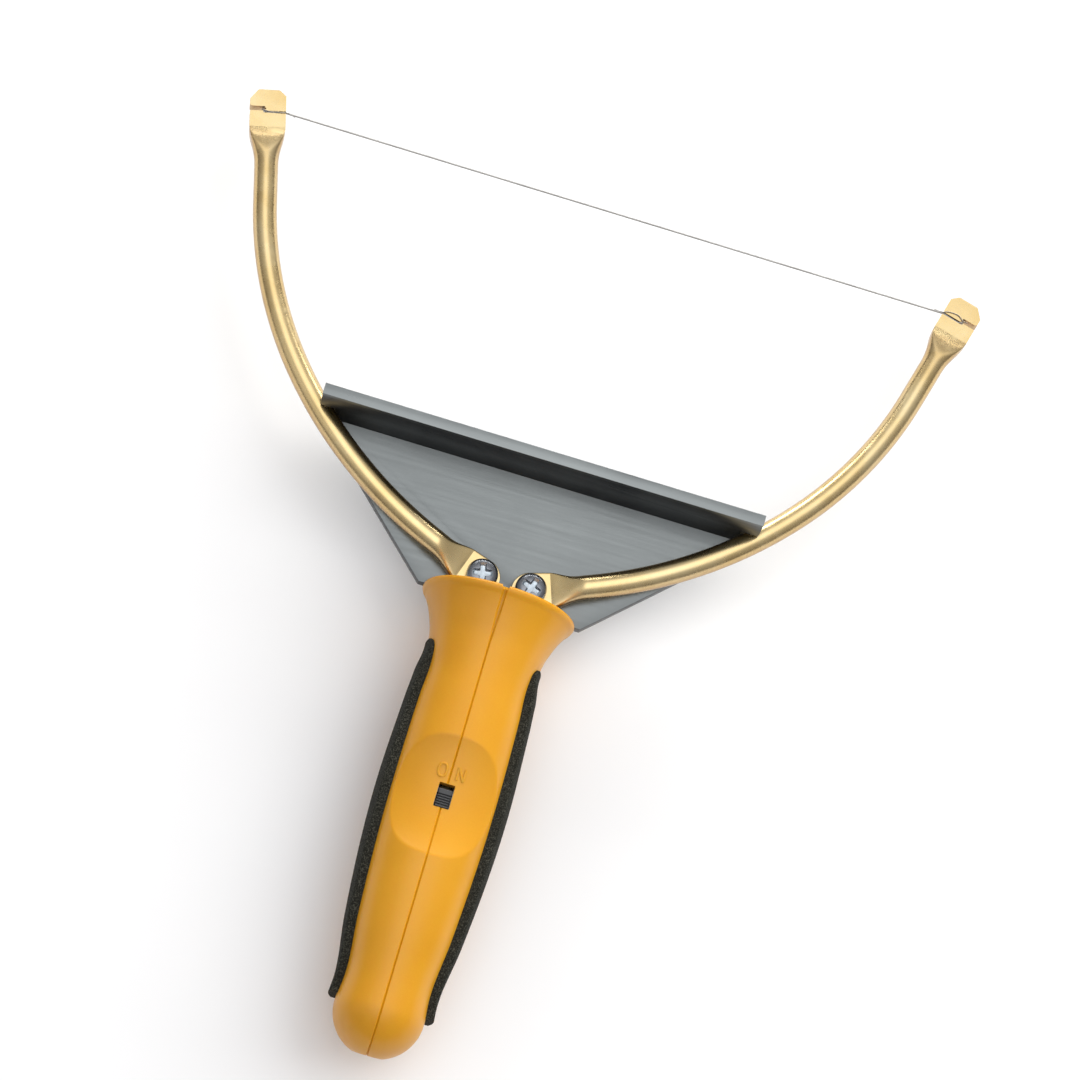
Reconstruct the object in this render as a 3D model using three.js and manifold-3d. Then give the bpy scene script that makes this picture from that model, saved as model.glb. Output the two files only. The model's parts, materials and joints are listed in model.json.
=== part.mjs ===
// Hot wire cutter: a powered clamshell handle with an L-section guide and a wire bow of two bent brass rods.
// Millimetres. +Z is up with the switch face upwards, +Y runs from the handle to the cutting wire.
// Everything is modelled from the centre of the handle's mouth; the origin of the finished part is on the
// guide's working face, midway between the bow arms and level with the top of the guide plate.

import * as THREE from 'three';
import { mergeVertices } from 'three/addons/utils/BufferGeometryUtils.js';
import Module from 'manifold-3d';

// ---------------------------------------------------------------- driving dimensions

// Handle body, half width by half depth where the outline turns; y runs from the mouth back to the butt.
const RIM = { w: 20.4, d: 18.9, y: 0 };
const LIP_DEPTH = 0.8;
const LIP_ROUND = 0.9;
const NECK = { w: 14.9, d: 14.9, y: -13.6 };
const FLARE_POWER = 1.7;
const WAIST = { w: 13.8, d: 14.6, y: -22 };
const BELLY = { w: 15.1, d: 16.2, y: -54 };
const TAPER = { w: 13.1, d: 14.5, y: -89 };
const BUTT_NECK = { w: 11.3, d: 12.9, y: -104.5 };
const BULB = { w: 11.6, d: 12.8, y: -110 };
const DOME_LENGTH = 11.5;
const HANDLE_END = BULB.y - DOME_LENGTH;
const HANDLE_SQUARENESS = 2.1;
const WALL = 2.4;
const PARTING_GAP = 0.1;

// Thumb dish and the slide switch under it.
const SWITCH_Y = -55.3;
const DISH = { floor: 12.8, radius: 45, crown: 0.0216, halfWidth: 16 };
const SWITCH_SLOT = { w: 4.1, l: 6.4 };
const KNOB = { w: 3.4, l: 4.9, top: 13.1, ribs: 4 };
const KNOB_END_GAP = 0.05;
const SWITCH_TRAVEL = 1.4;
const FRAME = { halfW: 3.7, halfL: 10, skin: 0.5, bottom: 4.6, underDish: 0.4 };
const SLIDE = { halfW: 3, lap: 1, bottom: 8.2, top: 9.3 };
const BRIDGE = { halfW: 1, halfL: 3.4, bottom: 6.6, top: 7, lug: 0.6, lugTop: 8.15 };
const BASE = { halfW: 3.1, halfL: 9.6, bottom: 4.7, top: 6, slotHalfW: 0.9, slotHalfL: 0.35 };
const TERMINAL = { pitch: 4.5, halfW: 1.2, halfL: 1.1, top: 6.5, t: 0.4 };
const TERMINAL_LEG = { halfW: 0.8, halfT: 0.25, foot: 0.4, eyeR: 0.45, eyeZ: 1.4 };
const SWITCH_RIB = { offset: 8, halfT: 0.8, inner: 4.1, bottom: 4.5 };

// Foam strips let into the sides; the front end stands less proud of the body. The heights are those of the
// upper edge above the handle's middle, from the front corner back. The lower edge mirrors it to the rear end.
const FOAM = { front: -14.3, rear: -108.5, letIn: 1.0, corner: 2.8, gap: 0.2 };
const FOAM_HEIGHTS = [{ y: -17.1, z: 6.9 }, { y: -30, z: 6.8 }, { y: -55, z: 8.1 }, { y: -90, z: 5.8 }];
const FOAM_REAR_HEIGHT = { top: 2.6, bottom: 5.8 };
const FOAM_PROUD = { front: 0.7, body: 2.15, taper: 9 };

// Guide: a trapezoid plate with an upstanding flange, one piece.
const GUIDE = { t: 3, edgeY: 1, edgeHalf: 21.8, faceY: 39.7, topHalf: 58.7, flangeHalf: 59.2, height: 16.5 };
const NOTCH_CLEARANCE = 0.45;

// Clamp screws, tabs and terminal bars share two centres.
const CLAMP = { x: 6.55, y: 6.3 };
const SCREW = { headR: 4.1, headH: 2.6, shankR: 1.98, length: 10, recess: 1.5 };
const WASHER = { r: 3.8, t: 0.6 };
const CLEARANCE_HOLE_R = 2.3;
const TAPPED_HOLE_R = 2.06;
const BAR = { w: 8, t: 2.6, front: 10.9, rear: -16, notch: 0.95 };
const BAR_LEAD_HOLE = { r: 1, inset: 2.5 };
const BULKHEAD = { front: -7, rear: -10 };
const SPACER = { reach: 3, flangeT: 2, bottom: -9, top: -0.6 };

// Bow arms: quarter-inch class brass rod, flattened at both ends.
const ROD_R = 3.15;
const ROD_Z = 4.2;
const TAB = { heading: 17.5, w: 9.6, t: 3, flat: 5.2, neckEnd: 15, straight: 4 };
const ARM_BENDS = [{ radius: 122.7, heading: 50 }, { radius: 109.2, heading: 74.8 }];
const HEAD = { straight: 32.5, w: 9.6, t: 3.5, flat: 11, neck: 10.5, clip: 2.6 };
const WIRE_SLOT = { fromTip: 5.7, w: 1.2, reach: 4.05 };
const WIRE_GROOVE = { fromTip: 6.6, w: 0.9, depth: 1.3, overlap: 1.5 };
const WIRE_R = 0.25;

// Power socket in the butt: a flat face leaning downwards with a barrel jack square to it.
const SOCKET = { y: -120.4, z: -3.2, lean: 14, holeR: 3.3 };
const JACK_COLLARS = [-114.6, -109];

// The jack, measured inwards from the middle of the socket's face.
const JACK = { r: 4.5, front: 2.6, rear: 14.7, boreR: 3.2, boreEnd: 12.2, pinR: 1, pinFront: 5.2 };
const JACK_TAIL = 2;
const JACK_CONTACT = { halfW: 0.7, bottom: 3.3, t: 0.35, touch: 3.05, front: 2.4 };

// Shell screws go in from the right side, under the foam.
const SHELL_SCREW_Y = [-30, -78, -98];
const SHELL_SCREW = { z: -3, headR: 2.2, headH: 1.6, sink: 1.4, shankR: 1.25, length: 14, bossR: 2.9 };

// Insulated leads; each stops just short of its solder points.
const LEAD_R = 0.8;
const LEAD_STOP = 0.4;
const LEAD_LANE_X = 7;

// ---------------------------------------------------------------- solids and shapes

const wasm = await Module();
wasm.setup();

// A closed geometry as a solid that can be joined and cut.
function solid(geometry) {
  const plain = geometry.clone();
  plain.deleteAttribute('normal');
  plain.deleteAttribute('uv');
  const merged = mergeVertices(plain);
  const corners = merged.index.array;
  const kept = [];
  for (let i = 0; i < corners.length; i += 3) {
    const [a, b, c] = corners.slice(i, i + 3);
    if (a !== b && b !== c && c !== a) kept.push(a, b, c);
  }
  return new wasm.Manifold(new wasm.Mesh({
    numProp: 3,
    vertProperties: new Float32Array(merged.attributes.position.array),
    triVerts: new Uint32Array(kept),
  }));
}

function geometryOf(body) {
  const mesh = body.getMesh();
  const geometry = new THREE.BufferGeometry();
  geometry.setAttribute('position', new THREE.BufferAttribute(mesh.vertProperties, 3));
  geometry.setIndex(new THREE.BufferAttribute(mesh.triVerts, 1));
  geometry.computeVertexNormals();
  return geometry;
}

function joined(...geometries) {
  return geometries.map(solid).reduce((all, next) => all.add(next));
}

// The same shape on the other side of the parting plane, with its faces turned back out.
function mirrored(geometry) {
  const copy = geometry.clone().scale(-1, 1, 1);
  const corners = copy.index.array;
  for (let i = 0; i < corners.length; i += 3) {
    [corners[i], corners[i + 1]] = [corners[i + 1], corners[i]];
  }
  copy.computeVertexNormals();
  return copy;
}

function block(x0, x1, y0, y1, z0, z1) {
  const box = new THREE.BoxGeometry(x1 - x0, y1 - y0, z1 - z0);
  return box.translate((x0 + x1) / 2, (y0 + y1) / 2, (z0 + z1) / 2);
}

function cylinderX(radius, x0, x1, y, z, sides = 20) {
  const bar = new THREE.CylinderGeometry(radius, radius, x1 - x0, sides).rotateZ(-Math.PI / 2);
  return bar.translate((x0 + x1) / 2, y, z);
}

function cylinderY(radius, y0, y1, sides = 24) {
  return new THREE.CylinderGeometry(radius, radius, y1 - y0, sides).translate(0, (y0 + y1) / 2, 0);
}

function cylinderZ(radius, x, y, z0, z1, sides = 24) {
  const bar = new THREE.CylinderGeometry(radius, radius, z1 - z0, sides).rotateX(Math.PI / 2);
  return bar.translate(x, y, (z0 + z1) / 2);
}

// A flat outline in plan, standing from z0 to z1.
function plate(outline, z0, z1) {
  const shape = outline instanceof THREE.Shape ? outline : new THREE.Shape(outline);
  const options = { depth: z1 - z0, bevelEnabled: false, curveSegments: 8 };
  return new THREE.ExtrudeGeometry(shape, options).translate(0, 0, z0);
}

// A flat outline in side view, drawn as (y, z) and standing from x0 to x1.
function sidePlate(outline, x0, x1) {
  const toSide = new THREE.Matrix4().makeBasis(
    new THREE.Vector3(0, 1, 0),
    new THREE.Vector3(0, 0, 1),
    new THREE.Vector3(1, 0, 0),
  );
  return plate(outline, x0, x1).applyMatrix4(toSide);
}

// Keeps the sign of a circle's coordinate; a value that is only rounding error stays zero.
function signedPower(value, power) {
  return Math.abs(value) < 1e-9 ? 0 : Math.sign(value) * Math.abs(value) ** power;
}

// Turns a stack of stations {w, d, y} into a solid with rounded-square oval sections.
function ovalTurning(stations, sides, squareness = HANDLE_SQUARENESS) {
  const first = stations[0];
  const last = stations[stations.length - 1];
  const profile = [first, ...stations, last].map(({ y }) => new THREE.Vector2(1, y));
  profile[0].x = 0;
  profile[profile.length - 1].x = 0;
  const geometry = new THREE.LatheGeometry(profile, sides);
  const position = geometry.attributes.position;
  const rows = profile.length;
  for (let i = 0; i < position.count; i += 1) {
    const row = THREE.MathUtils.clamp((i % rows) - 1, 0, stations.length - 1);
    const { w, d } = stations[row];
    position.setX(i, w * signedPower(position.getX(i), 2 / squareness));
    position.setZ(i, d * signedPower(position.getZ(i), 2 / squareness));
  }
  return geometry;
}

// A bar whose flattened section follows a plan path: sectionAt gives half width, half thickness, height of
// its centre and squareness at a distance along it.
function bentBar(path, steps, sides, sectionAt) {
  const geometry = new THREE.CylinderGeometry(1, 1, 1, sides, steps);
  const position = geometry.attributes.position;
  const length = path.getLength();
  for (let i = 0; i < position.count; i += 1) {
    const u = THREE.MathUtils.clamp(position.getY(i) + 0.5, 0, 1);
    const point = path.getPointAt(u);
    const along = path.getTangentAt(u);
    const { halfW, halfT, z, squareness } = sectionAt(u * length);
    const across = halfW * signedPower(position.getX(i), 2 / squareness);
    const up = halfT * signedPower(position.getZ(i), 2 / squareness);
    position.setXYZ(i, point.x + along.y * across, point.y - along.x * across, z + up);
  }
  return geometry;
}

function cable(points, radius, steps) {
  const path = new THREE.CatmullRomCurve3(points.map((p) => new THREE.Vector3(...p)), false, 'centripetal');
  const circle = new THREE.Shape().absarc(0, 0, radius, 0, 2 * Math.PI, false);
  const options = { steps, extrudePath: path, bevelEnabled: false, curveSegments: 4 };
  return new THREE.ExtrudeGeometry(circle, options);
}

// ---------------------------------------------------------------- materials

function finish(color, roughness, metalness) {
  return new THREE.MeshStandardMaterial({ color, roughness, metalness });
}

const amberPlastic = () => finish(0xe8a020, 0.5, 0);
const blackFoam = () => finish(0x33322c, 0.95, 0);
const blackGuide = () => finish(0x2c2d2f, 0.4, 0);
const satinBrass = () => finish(0xd9b36a, 0.35, 1);
const zincSteel = () => finish(0xa3a8ad, 0.3, 1);
const wireSteel = () => finish(0xb8b8b4, 0.3, 1);
const darkPlastic = () => finish(0x3c3d3f, 0.55, 0);
const phenolic = () => finish(0x6a4327, 0.6, 0);
const nylon = () => finish(0xd8d4c8, 0.6, 0);
const redSleeve = () => finish(0xa8221c, 0.5, 0);
const blackSleeve = () => finish(0x1b1b1c, 0.5, 0);

// ---------------------------------------------------------------- handle outline

function flareStations(count) {
  return Array.from({ length: count }, (_, i) => {
    const t = 1 - i / count;
    const open = t ** FLARE_POWER;
    return {
      w: THREE.MathUtils.lerp(NECK.w, RIM.w, open),
      d: THREE.MathUtils.lerp(NECK.d, RIM.d, open),
      y: THREE.MathUtils.lerp(NECK.y, RIM.y, t),
    };
  });
}

function gripStations(count) {
  const turns = [NECK, WAIST, BELLY, TAPER, BUTT_NECK, BULB];
  const curve = new THREE.CatmullRomCurve3(turns.map(({ w, d, y }) => new THREE.Vector3(w, y, d)));
  return curve.getPoints(count).map(({ x, y, z }) => ({ w: x, d: z, y }));
}

// The last station stops just short of the dome's tip, where the width would be nothing.
function domeStations(count) {
  return Array.from({ length: count }, (_, i) => {
    const angle = ((i + 1) / (count + 0.5)) * (Math.PI / 2);
    const width = Math.cos(angle);
    return { w: BULB.w * width, d: BULB.d * width, y: BULB.y - DOME_LENGTH * Math.sin(angle) };
  });
}

const bodyStations = [...flareStations(5), ...gripStations(15), ...domeStations(6)];

// Half width and half depth of the body at one height.
function bodyAt(y) {
  const next = bodyStations.findIndex((station) => station.y <= y);
  const after = bodyStations[Math.max(next, 1)];
  const before = bodyStations[Math.max(next, 1) - 1];
  const t = (y - before.y) / (after.y - before.y);
  return { w: THREE.MathUtils.lerp(before.w, after.w, t), d: THREE.MathUtils.lerp(before.d, after.d, t) };
}

function offsetStations(stations, offset) {
  return stations.map(({ w, d, y }) => ({ w: w + offset, d: d + offset, y }));
}

// Stations run from the mouth backwards; a turning needs them from the butt forwards.
function bodyTurning(stations, sides) {
  return solid(ovalTurning([...stations].reverse(), sides));
}

// ---------------------------------------------------------------- handle shells

// Turns a shape drawn along +Y from the socket's face into place, leaning with the socket.
function leaned(geometry) {
  return geometry.rotateX(THREE.MathUtils.degToRad(SOCKET.lean)).translate(0, SOCKET.y, SOCKET.z);
}

function outerBody() {
  const lip = { w: RIM.w - LIP_ROUND, d: RIM.d - LIP_ROUND, y: LIP_DEPTH };
  const beyondFace = leaned(block(-RIM.w, RIM.w, -RIM.w, 0, -RIM.d, RIM.d));
  return bodyTurning([lip, ...bodyStations], 36).subtract(solid(beyondFace));
}

function thumbDish(extra) {
  const steps = 8;
  const half = DISH.halfWidth + extra;
  const profile = Array.from({ length: steps + 1 }, (_, i) => {
    const x = THREE.MathUtils.lerp(-half, half, i / steps);
    return new THREE.Vector2(DISH.radius + extra + DISH.crown * x * x, x);
  });
  profile.unshift(new THREE.Vector2(0, -half));
  profile.push(new THREE.Vector2(0, half));
  const wheel = new THREE.LatheGeometry(profile, 90).rotateZ(-Math.PI / 2);
  return solid(wheel.translate(0, SWITCH_Y, DISH.floor + DISH.radius));
}

function handleCavity() {
  const innerEnd = HANDLE_END + WALL;
  const grip = bodyStations.filter(({ y }) => y > innerEnd + 1);
  const tip = bodyAt(innerEnd);
  const mouth = { ...bodyStations[0], y: LIP_DEPTH + 1 };
  const stations = [mouth, ...grip.filter((_, i) => i % 2 === 0), { ...tip, y: innerEnd }];
  return bodyTurning(offsetStations(stations, -WALL), 24).subtract(thumbDish(WALL));
}

// One long edge of the foam strip in side view, from its front corner to the rear, as heights grown by a gap.
function foamEdge(rearHeight, grow) {
  const rear = { y: FOAM.rear - grow, z: rearHeight };
  const points = [...FOAM_HEIGHTS, rear].map(({ y, z }) => new THREE.Vector2(y, z + grow));
  return new THREE.SplineCurve(points).getPoints(16);
}

// The foam strip's outline in side view, with both front corners rounded, grown all round by a gap.
function foamOutline(grow) {
  const corner = FOAM_HEIGHTS[0];
  const centreZ = corner.z - FOAM.corner;
  const radius = FOAM.corner + grow;
  const lower = foamEdge(FOAM_REAR_HEIGHT.bottom, grow).slice(1).reverse();
  const outline = new THREE.Shape(lower.map((point) => new THREE.Vector2(point.x, -point.y)));
  outline.absarc(corner.y, -centreZ, radius, -Math.PI / 2, 0, false);
  outline.absarc(corner.y, centreZ, radius, 0, Math.PI / 2, false);
  for (const point of foamEdge(FOAM_REAR_HEIGHT.top, grow).slice(1)) {
    outline.lineTo(point.x, point.y);
  }
  return outline;
}

// The band along the right side from an offset inside the body out to given stations, in the foam's outline.
function sideBand(inner, outer, grow) {
  const outside = bodyTurning(outer, 36);
  const inside = bodyTurning(offsetStations(bodyStations, inner), 36);
  return outside.subtract(inside).intersect(solid(sidePlate(foamOutline(grow), 0, RIM.w + 10)));
}

// The foam's outer face, at full height along the body and lower towards its front end.
function foamFace() {
  return bodyStations.map(({ w, d, y }) => {
    const frontBlend = THREE.MathUtils.smoothstep(y, FOAM.front - FOAM_PROUD.taper, FOAM.front);
    const proud = THREE.MathUtils.lerp(FOAM_PROUD.body, FOAM_PROUD.front, frontBlend);
    return { w: w + proud, d: d + proud, y };
  });
}

function screwHeadSeat(y) {
  return bodyAt(y).w - FOAM.letIn - SHELL_SCREW.sink - SHELL_SCREW.headH;
}

// Everything that stands inside the shells: bulkhead, switch ribs, jack collars and screw bosses.
function innerSupports() {
  const wide = RIM.w;
  const tall = RIM.d;
  const pieces = [block(-wide, wide, BULKHEAD.rear, BULKHEAD.front, -tall, tall)];
  const { offset, halfT, inner, bottom } = SWITCH_RIB;
  for (const y of [SWITCH_Y - offset, SWITCH_Y + offset]) {
    pieces.push(block(inner, wide, y - halfT, y + halfT, bottom, tall));
    pieces.push(block(-wide, -inner, y - halfT, y + halfT, bottom, tall));
  }
  for (const y of JACK_COLLARS) {
    pieces.push(block(-wide, wide, y - halfT, y + halfT, -tall, tall));
  }
  for (const y of SHELL_SCREW_Y) {
    pieces.push(cylinderX(SHELL_SCREW.bossR, -wide, wide, y, SHELL_SCREW.z, 16));
  }
  return joined(...pieces);
}

function shellOpenings() {
  const slotHalf = SWITCH_SLOT.w / 2;
  const reach = BAR.w / 2 + 0.3 - BAR.notch;
  const barTop = -GUIDE.t + 0.15;
  const barBottom = -GUIDE.t - BAR.t - 0.15;
  const openings = [
    block(-slotHalf, slotHalf, SWITCH_Y - SWITCH_SLOT.l / 2, SWITCH_Y + SWITCH_SLOT.l / 2, 5, RIM.d),
    block(-CLAMP.x - reach, CLAMP.x + reach, BULKHEAD.rear - 1, BULKHEAD.front + 1, barBottom, barTop),
    leaned(cylinderY(JACK.r + 0.2, JACK.front - 0.1, JACK.rear + 1)),
    leaned(cylinderY(SOCKET.holeR, -1, JACK.front)),
  ];
  for (const y of SHELL_SCREW_Y) {
    const seat = screwHeadSeat(y);
    const pilotEnd = seat - SHELL_SCREW.length - 0.5;
    openings.push(cylinderX(SHELL_SCREW.headR + 0.3, seat, RIM.w, y, SHELL_SCREW.z));
    openings.push(cylinderX(SHELL_SCREW.shankR + 0.15, pilotEnd, seat + 0.5, y, SHELL_SCREW.z));
  }
  return joined(...openings);
}

function shellHalves() {
  const body = outerBody();
  const recess = sideBand(-FOAM.letIn - FOAM.gap, offsetStations(bodyStations, 5), FOAM.gap);
  const recesses = recess.add(solid(mirrored(geometryOf(recess))));
  const hollow = body.subtract(handleCavity()).add(innerSupports().intersect(body));
  const whole = hollow.subtract(thumbDish(0)).subtract(recesses).subtract(shellOpenings());
  const size = 2 * RIM.w;
  const side = solid(block(PARTING_GAP / 2, size, HANDLE_END - 1, LIP_DEPTH + 1, -size, size));
  const otherSide = solid(block(-size, -PARTING_GAP / 2, HANDLE_END - 1, LIP_DEPTH + 1, -size, size));
  return { right: geometryOf(whole.intersect(side)), left: geometryOf(whole.intersect(otherSide)) };
}

function foamStrip() {
  return geometryOf(sideBand(-FOAM.letIn, foamFace(), 0));
}

// A self-tapping screw lying along X, head outwards to the right.
function shellScrew(y) {
  const seat = screwHeadSeat(y);
  const head = cylinderX(SHELL_SCREW.headR, seat, seat + SHELL_SCREW.headH, y, SHELL_SCREW.z);
  const shank = cylinderX(SHELL_SCREW.shankR, seat - SHELL_SCREW.length, seat + 0.5, y, SHELL_SCREW.z, 12);
  const groove = block(seat + 1, seat + 3, y - 0.4, y + 0.4, SHELL_SCREW.z - 1.3, SHELL_SCREW.z + 1.3);
  const crossGroove = block(seat + 1, seat + 3, y - 1.3, y + 1.3, SHELL_SCREW.z - 0.4, SHELL_SCREW.z + 0.4);
  return geometryOf(joined(head, shank).subtract(joined(groove, crossGroove)));
}

// ---------------------------------------------------------------- slide switch

// The rear, middle and front terminals along the switch.
const TERMINAL_PLACES = [-1, 0, 1].map((step) => SWITCH_Y + step * TERMINAL.pitch);

function switchFrame() {
  const { halfW, halfL, skin, bottom } = FRAME;
  const top = DISH.floor - WALL - FRAME.underDish;
  const outer = block(-halfW, halfW, SWITCH_Y - halfL, SWITCH_Y + halfL, bottom, top);
  const rear = SWITCH_Y - halfL - 1;
  const front = SWITCH_Y + halfL + 1;
  const inner = block(skin - halfW, halfW - skin, rear, front, bottom - 1, top - skin);
  const slotHalf = KNOB.w / 2 + 0.15;
  const slotLength = KNOB.l / 2 + SWITCH_TRAVEL / 2 + 0.3;
  const slot = block(-slotHalf, slotHalf, SWITCH_Y - slotLength, SWITCH_Y + slotLength, top - 2, top + 1);
  return geometryOf(solid(outer).subtract(joined(inner, slot)));
}

// The knob is modelled about its own resting centre, at the rear end of its travel.
function switchKnob() {
  const half = KNOB.w / 2;
  const end = KNOB.l / 2;
  const stem = block(-half, half, -end, end, SLIDE.bottom + 0.5, KNOB.top);
  const reach = end + SLIDE.lap;
  const flange = block(-SLIDE.halfW, SLIDE.halfW, -reach, reach, SLIDE.bottom, SLIDE.top);
  const ribPitch = 0.7;
  const grooves = Array.from({ length: KNOB.ribs }, (_, i) => {
    const y = -end + 0.55 + i * ribPitch;
    return block(-half - 1, half + 1, y, y + 0.3, KNOB.top - 0.35, KNOB.top + 1);
  });
  return geometryOf(joined(stem, flange).subtract(joined(...grooves)));
}

function switchContact() {
  const { halfW, halfL, bottom, top, lug, lugTop } = BRIDGE;
  const bridge = block(-halfW, halfW, -halfL, halfL, bottom, top);
  const post = block(-lug, lug, -lug, lug, bottom + 0.2, lugTop);
  return geometryOf(joined(bridge, post));
}

function switchBase() {
  const { halfW, halfL, bottom, top, slotHalfW, slotHalfL } = BASE;
  const board = block(-halfW, halfW, SWITCH_Y - halfL, SWITCH_Y + halfL, bottom, top);
  const holes = TERMINAL_PLACES.map((y) => {
    return block(-slotHalfW, slotHalfW, y - slotHalfL, y + slotHalfL, bottom - 1, top + 1);
  });
  return geometryOf(solid(board).subtract(joined(...holes)));
}

function switchTerminal() {
  const { halfW, halfL, top, t } = TERMINAL;
  const pad = block(-halfW, halfW, -halfL, halfL, top - t, top);
  const leg = TERMINAL_LEG;
  const blade = block(-leg.halfW, leg.halfW, -leg.halfT, leg.halfT, leg.foot, top - t / 2);
  const eye = cylinderY(leg.eyeR, -1, 1, 12).translate(0, 0, leg.eyeZ);
  return geometryOf(joined(pad, blade).subtract(solid(eye)));
}

// ---------------------------------------------------------------- guide

// Unit step along an arm and its outward normal at a heading measured from +X.
function headingVector(degrees) {
  const angle = THREE.MathUtils.degToRad(degrees);
  return new THREE.Vector2(Math.cos(angle), Math.sin(angle));
}

// The right arm's centreline: a short straight from the clamp screw, two sweeping bends and a straight head.
function armPath() {
  const path = new THREE.CurvePath();
  let at = new THREE.Vector2(CLAMP.x, CLAMP.y);
  let heading = TAB.heading;
  const line = (length) => {
    const to = at.clone().addScaledVector(headingVector(heading), length);
    path.add(new THREE.LineCurve(at, to));
    at = to;
  };
  line(TAB.straight);
  for (const bend of ARM_BENDS) {
    const centre = at.clone().addScaledVector(headingVector(heading + 90), bend.radius);
    const start = THREE.MathUtils.degToRad(heading - 90);
    const end = THREE.MathUtils.degToRad(bend.heading - 90);
    path.add(new THREE.EllipseCurve(centre.x, centre.y, bend.radius, bend.radius, start, end));
    heading = bend.heading;
    at = centre.clone().addScaledVector(headingVector(heading - 90), bend.radius);
  }
  line(HEAD.straight);
  return path;
}

const rightArm = armPath();
const headAxis = headingVector(ARM_BENDS[1].heading);
const headOut = headingVector(ARM_BENDS[1].heading - 90);

// A point on the right arm's head, by distance back from its tip and outwards from its centreline.
function headPoint(fromTip, outward) {
  const tip = rightArm.getPoint(1);
  return tip.addScaledVector(headAxis, -fromTip).addScaledVector(headOut, outward);
}

// Where the arm's centreline crosses a given distance from the mouth.
function armCrossing(y) {
  const points = rightArm.getSpacedPoints(400);
  return points.find((point) => point.y >= y);
}

// The notch in the right end of the flange that the rod passes through, cut parallel to the rod.
function flangeNotch() {
  const inner = armCrossing(GUIDE.faceY - GUIDE.t);
  const outer = armCrossing(GUIDE.faceY);
  const along = outer.clone().sub(inner).normalize();
  const inwards = new THREE.Vector2(-along.y, along.x);
  const wall = ROD_R + NOTCH_CLEARANCE;
  const run = 2 * GUIDE.t;
  const a = inner.clone().addScaledVector(along, -run).addScaledVector(inwards, wall);
  const b = outer.clone().addScaledVector(along, run).addScaledVector(inwards, wall);
  const outside = GUIDE.flangeHalf + 8;
  const outline = [a, new THREE.Vector2(outside, a.y), new THREE.Vector2(outside, b.y), b];
  return plate(outline, 0, ROD_Z + wall);
}

function guidePlate() {
  const innerY = GUIDE.faceY - GUIDE.t;
  const side = GUIDE.topHalf;
  const outline = [
    new THREE.Vector2(-GUIDE.edgeHalf, GUIDE.edgeY),
    new THREE.Vector2(GUIDE.edgeHalf, GUIDE.edgeY),
    new THREE.Vector2(side, innerY),
    new THREE.Vector2(side, GUIDE.faceY - 1),
    new THREE.Vector2(-side, GUIDE.faceY - 1),
    new THREE.Vector2(-side, innerY),
  ];
  const web = plate(outline, -GUIDE.t, 0);
  const flange = block(-GUIDE.flangeHalf, GUIDE.flangeHalf, innerY, GUIDE.faceY, -GUIDE.t, GUIDE.height);
  const notch = flangeNotch();
  const holes = [-CLAMP.x, CLAMP.x].map((x) => cylinderZ(CLEARANCE_HOLE_R, x, CLAMP.y, -GUIDE.t - 1, 1));
  const cuts = solid(notch).add(solid(mirrored(mergeVertices(notch)))).add(joined(...holes));
  return geometryOf(joined(web, flange).subtract(cuts));
}

// ---------------------------------------------------------------- bow

// Section of an arm at a distance from the clamp screw: flat tab, oval neck, round rod, then the head.
function armSection(distance) {
  const length = rightArm.getLength();
  const fromTip = length - distance;
  const tabBlend = 1 - THREE.MathUtils.smoothstep(distance, TAB.flat, TAB.neckEnd);
  const headBlend = 1 - THREE.MathUtils.smoothstep(fromTip, HEAD.flat - 0.4, HEAD.flat + HEAD.neck);
  const isHead = fromTip < length / 2;
  const blend = isHead ? headBlend : tabBlend;
  const end = isHead ? HEAD : TAB;
  const endZ = isHead ? ROD_Z : TAB.t / 2;
  return {
    halfW: THREE.MathUtils.lerp(ROD_R, end.w / 2, blend ** 1.5),
    halfT: THREE.MathUtils.lerp(ROD_R, end.t / 2, blend),
    z: THREE.MathUtils.lerp(ROD_Z, endZ, blend),
    squareness: THREE.MathUtils.lerp(2, 9, blend ** 3),
  };
}

// An oblong across the head, between two distances from the tip and two offsets outwards.
function headStrip(fromTip, toTip, from, to) {
  return [headPoint(fromTip, from), headPoint(fromTip, to), headPoint(toTip, to), headPoint(toTip, from)];
}

// Through slot from the outer edge, a groove in the top face from the inner edge to meet it, clipped corners.
function headCuts() {
  const half = HEAD.w / 2;
  const top = ROD_Z + HEAD.t / 2;
  const slotEnd = half - WIRE_SLOT.reach;
  const slotRear = WIRE_SLOT.fromTip + WIRE_SLOT.w / 2;
  const slot = headStrip(slotRear, slotRear - WIRE_SLOT.w, slotEnd, half + 2);
  const grooveRear = WIRE_GROOVE.fromTip + WIRE_GROOVE.w / 2;
  const grooveEnd = slotEnd + WIRE_GROOVE.overlap;
  const groove = headStrip(grooveRear, grooveRear - WIRE_GROOVE.w, -half - 2, grooveEnd);
  const cuts = [
    plate(slot, ROD_Z - HEAD.t, ROD_Z + HEAD.t),
    plate(groove, top - WIRE_GROOVE.depth, top + 1),
  ];
  for (const side of [-1, 1]) {
    const clip = [headPoint(-1, side * (half + 1)), headPoint(HEAD.clip + 1, side * (half + 1))];
    clip.push(headPoint(-1, side * (half - HEAD.clip - 1)));
    cuts.push(plate(side > 0 ? clip.reverse() : clip, ROD_Z - HEAD.t, ROD_Z + HEAD.t));
  }
  return joined(...cuts);
}

function bowArm() {
  const bar = bentBar(rightArm, 44, 12, armSection);
  const tabEnd = cylinderZ(TAB.w / 2, CLAMP.x, CLAMP.y, 0, TAB.t);
  const hole = cylinderZ(CLEARANCE_HOLE_R, CLAMP.x, CLAMP.y, -1, TAB.t + 1);
  return geometryOf(joined(bar, tabEnd).subtract(solid(hole)).subtract(headCuts()));
}

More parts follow.
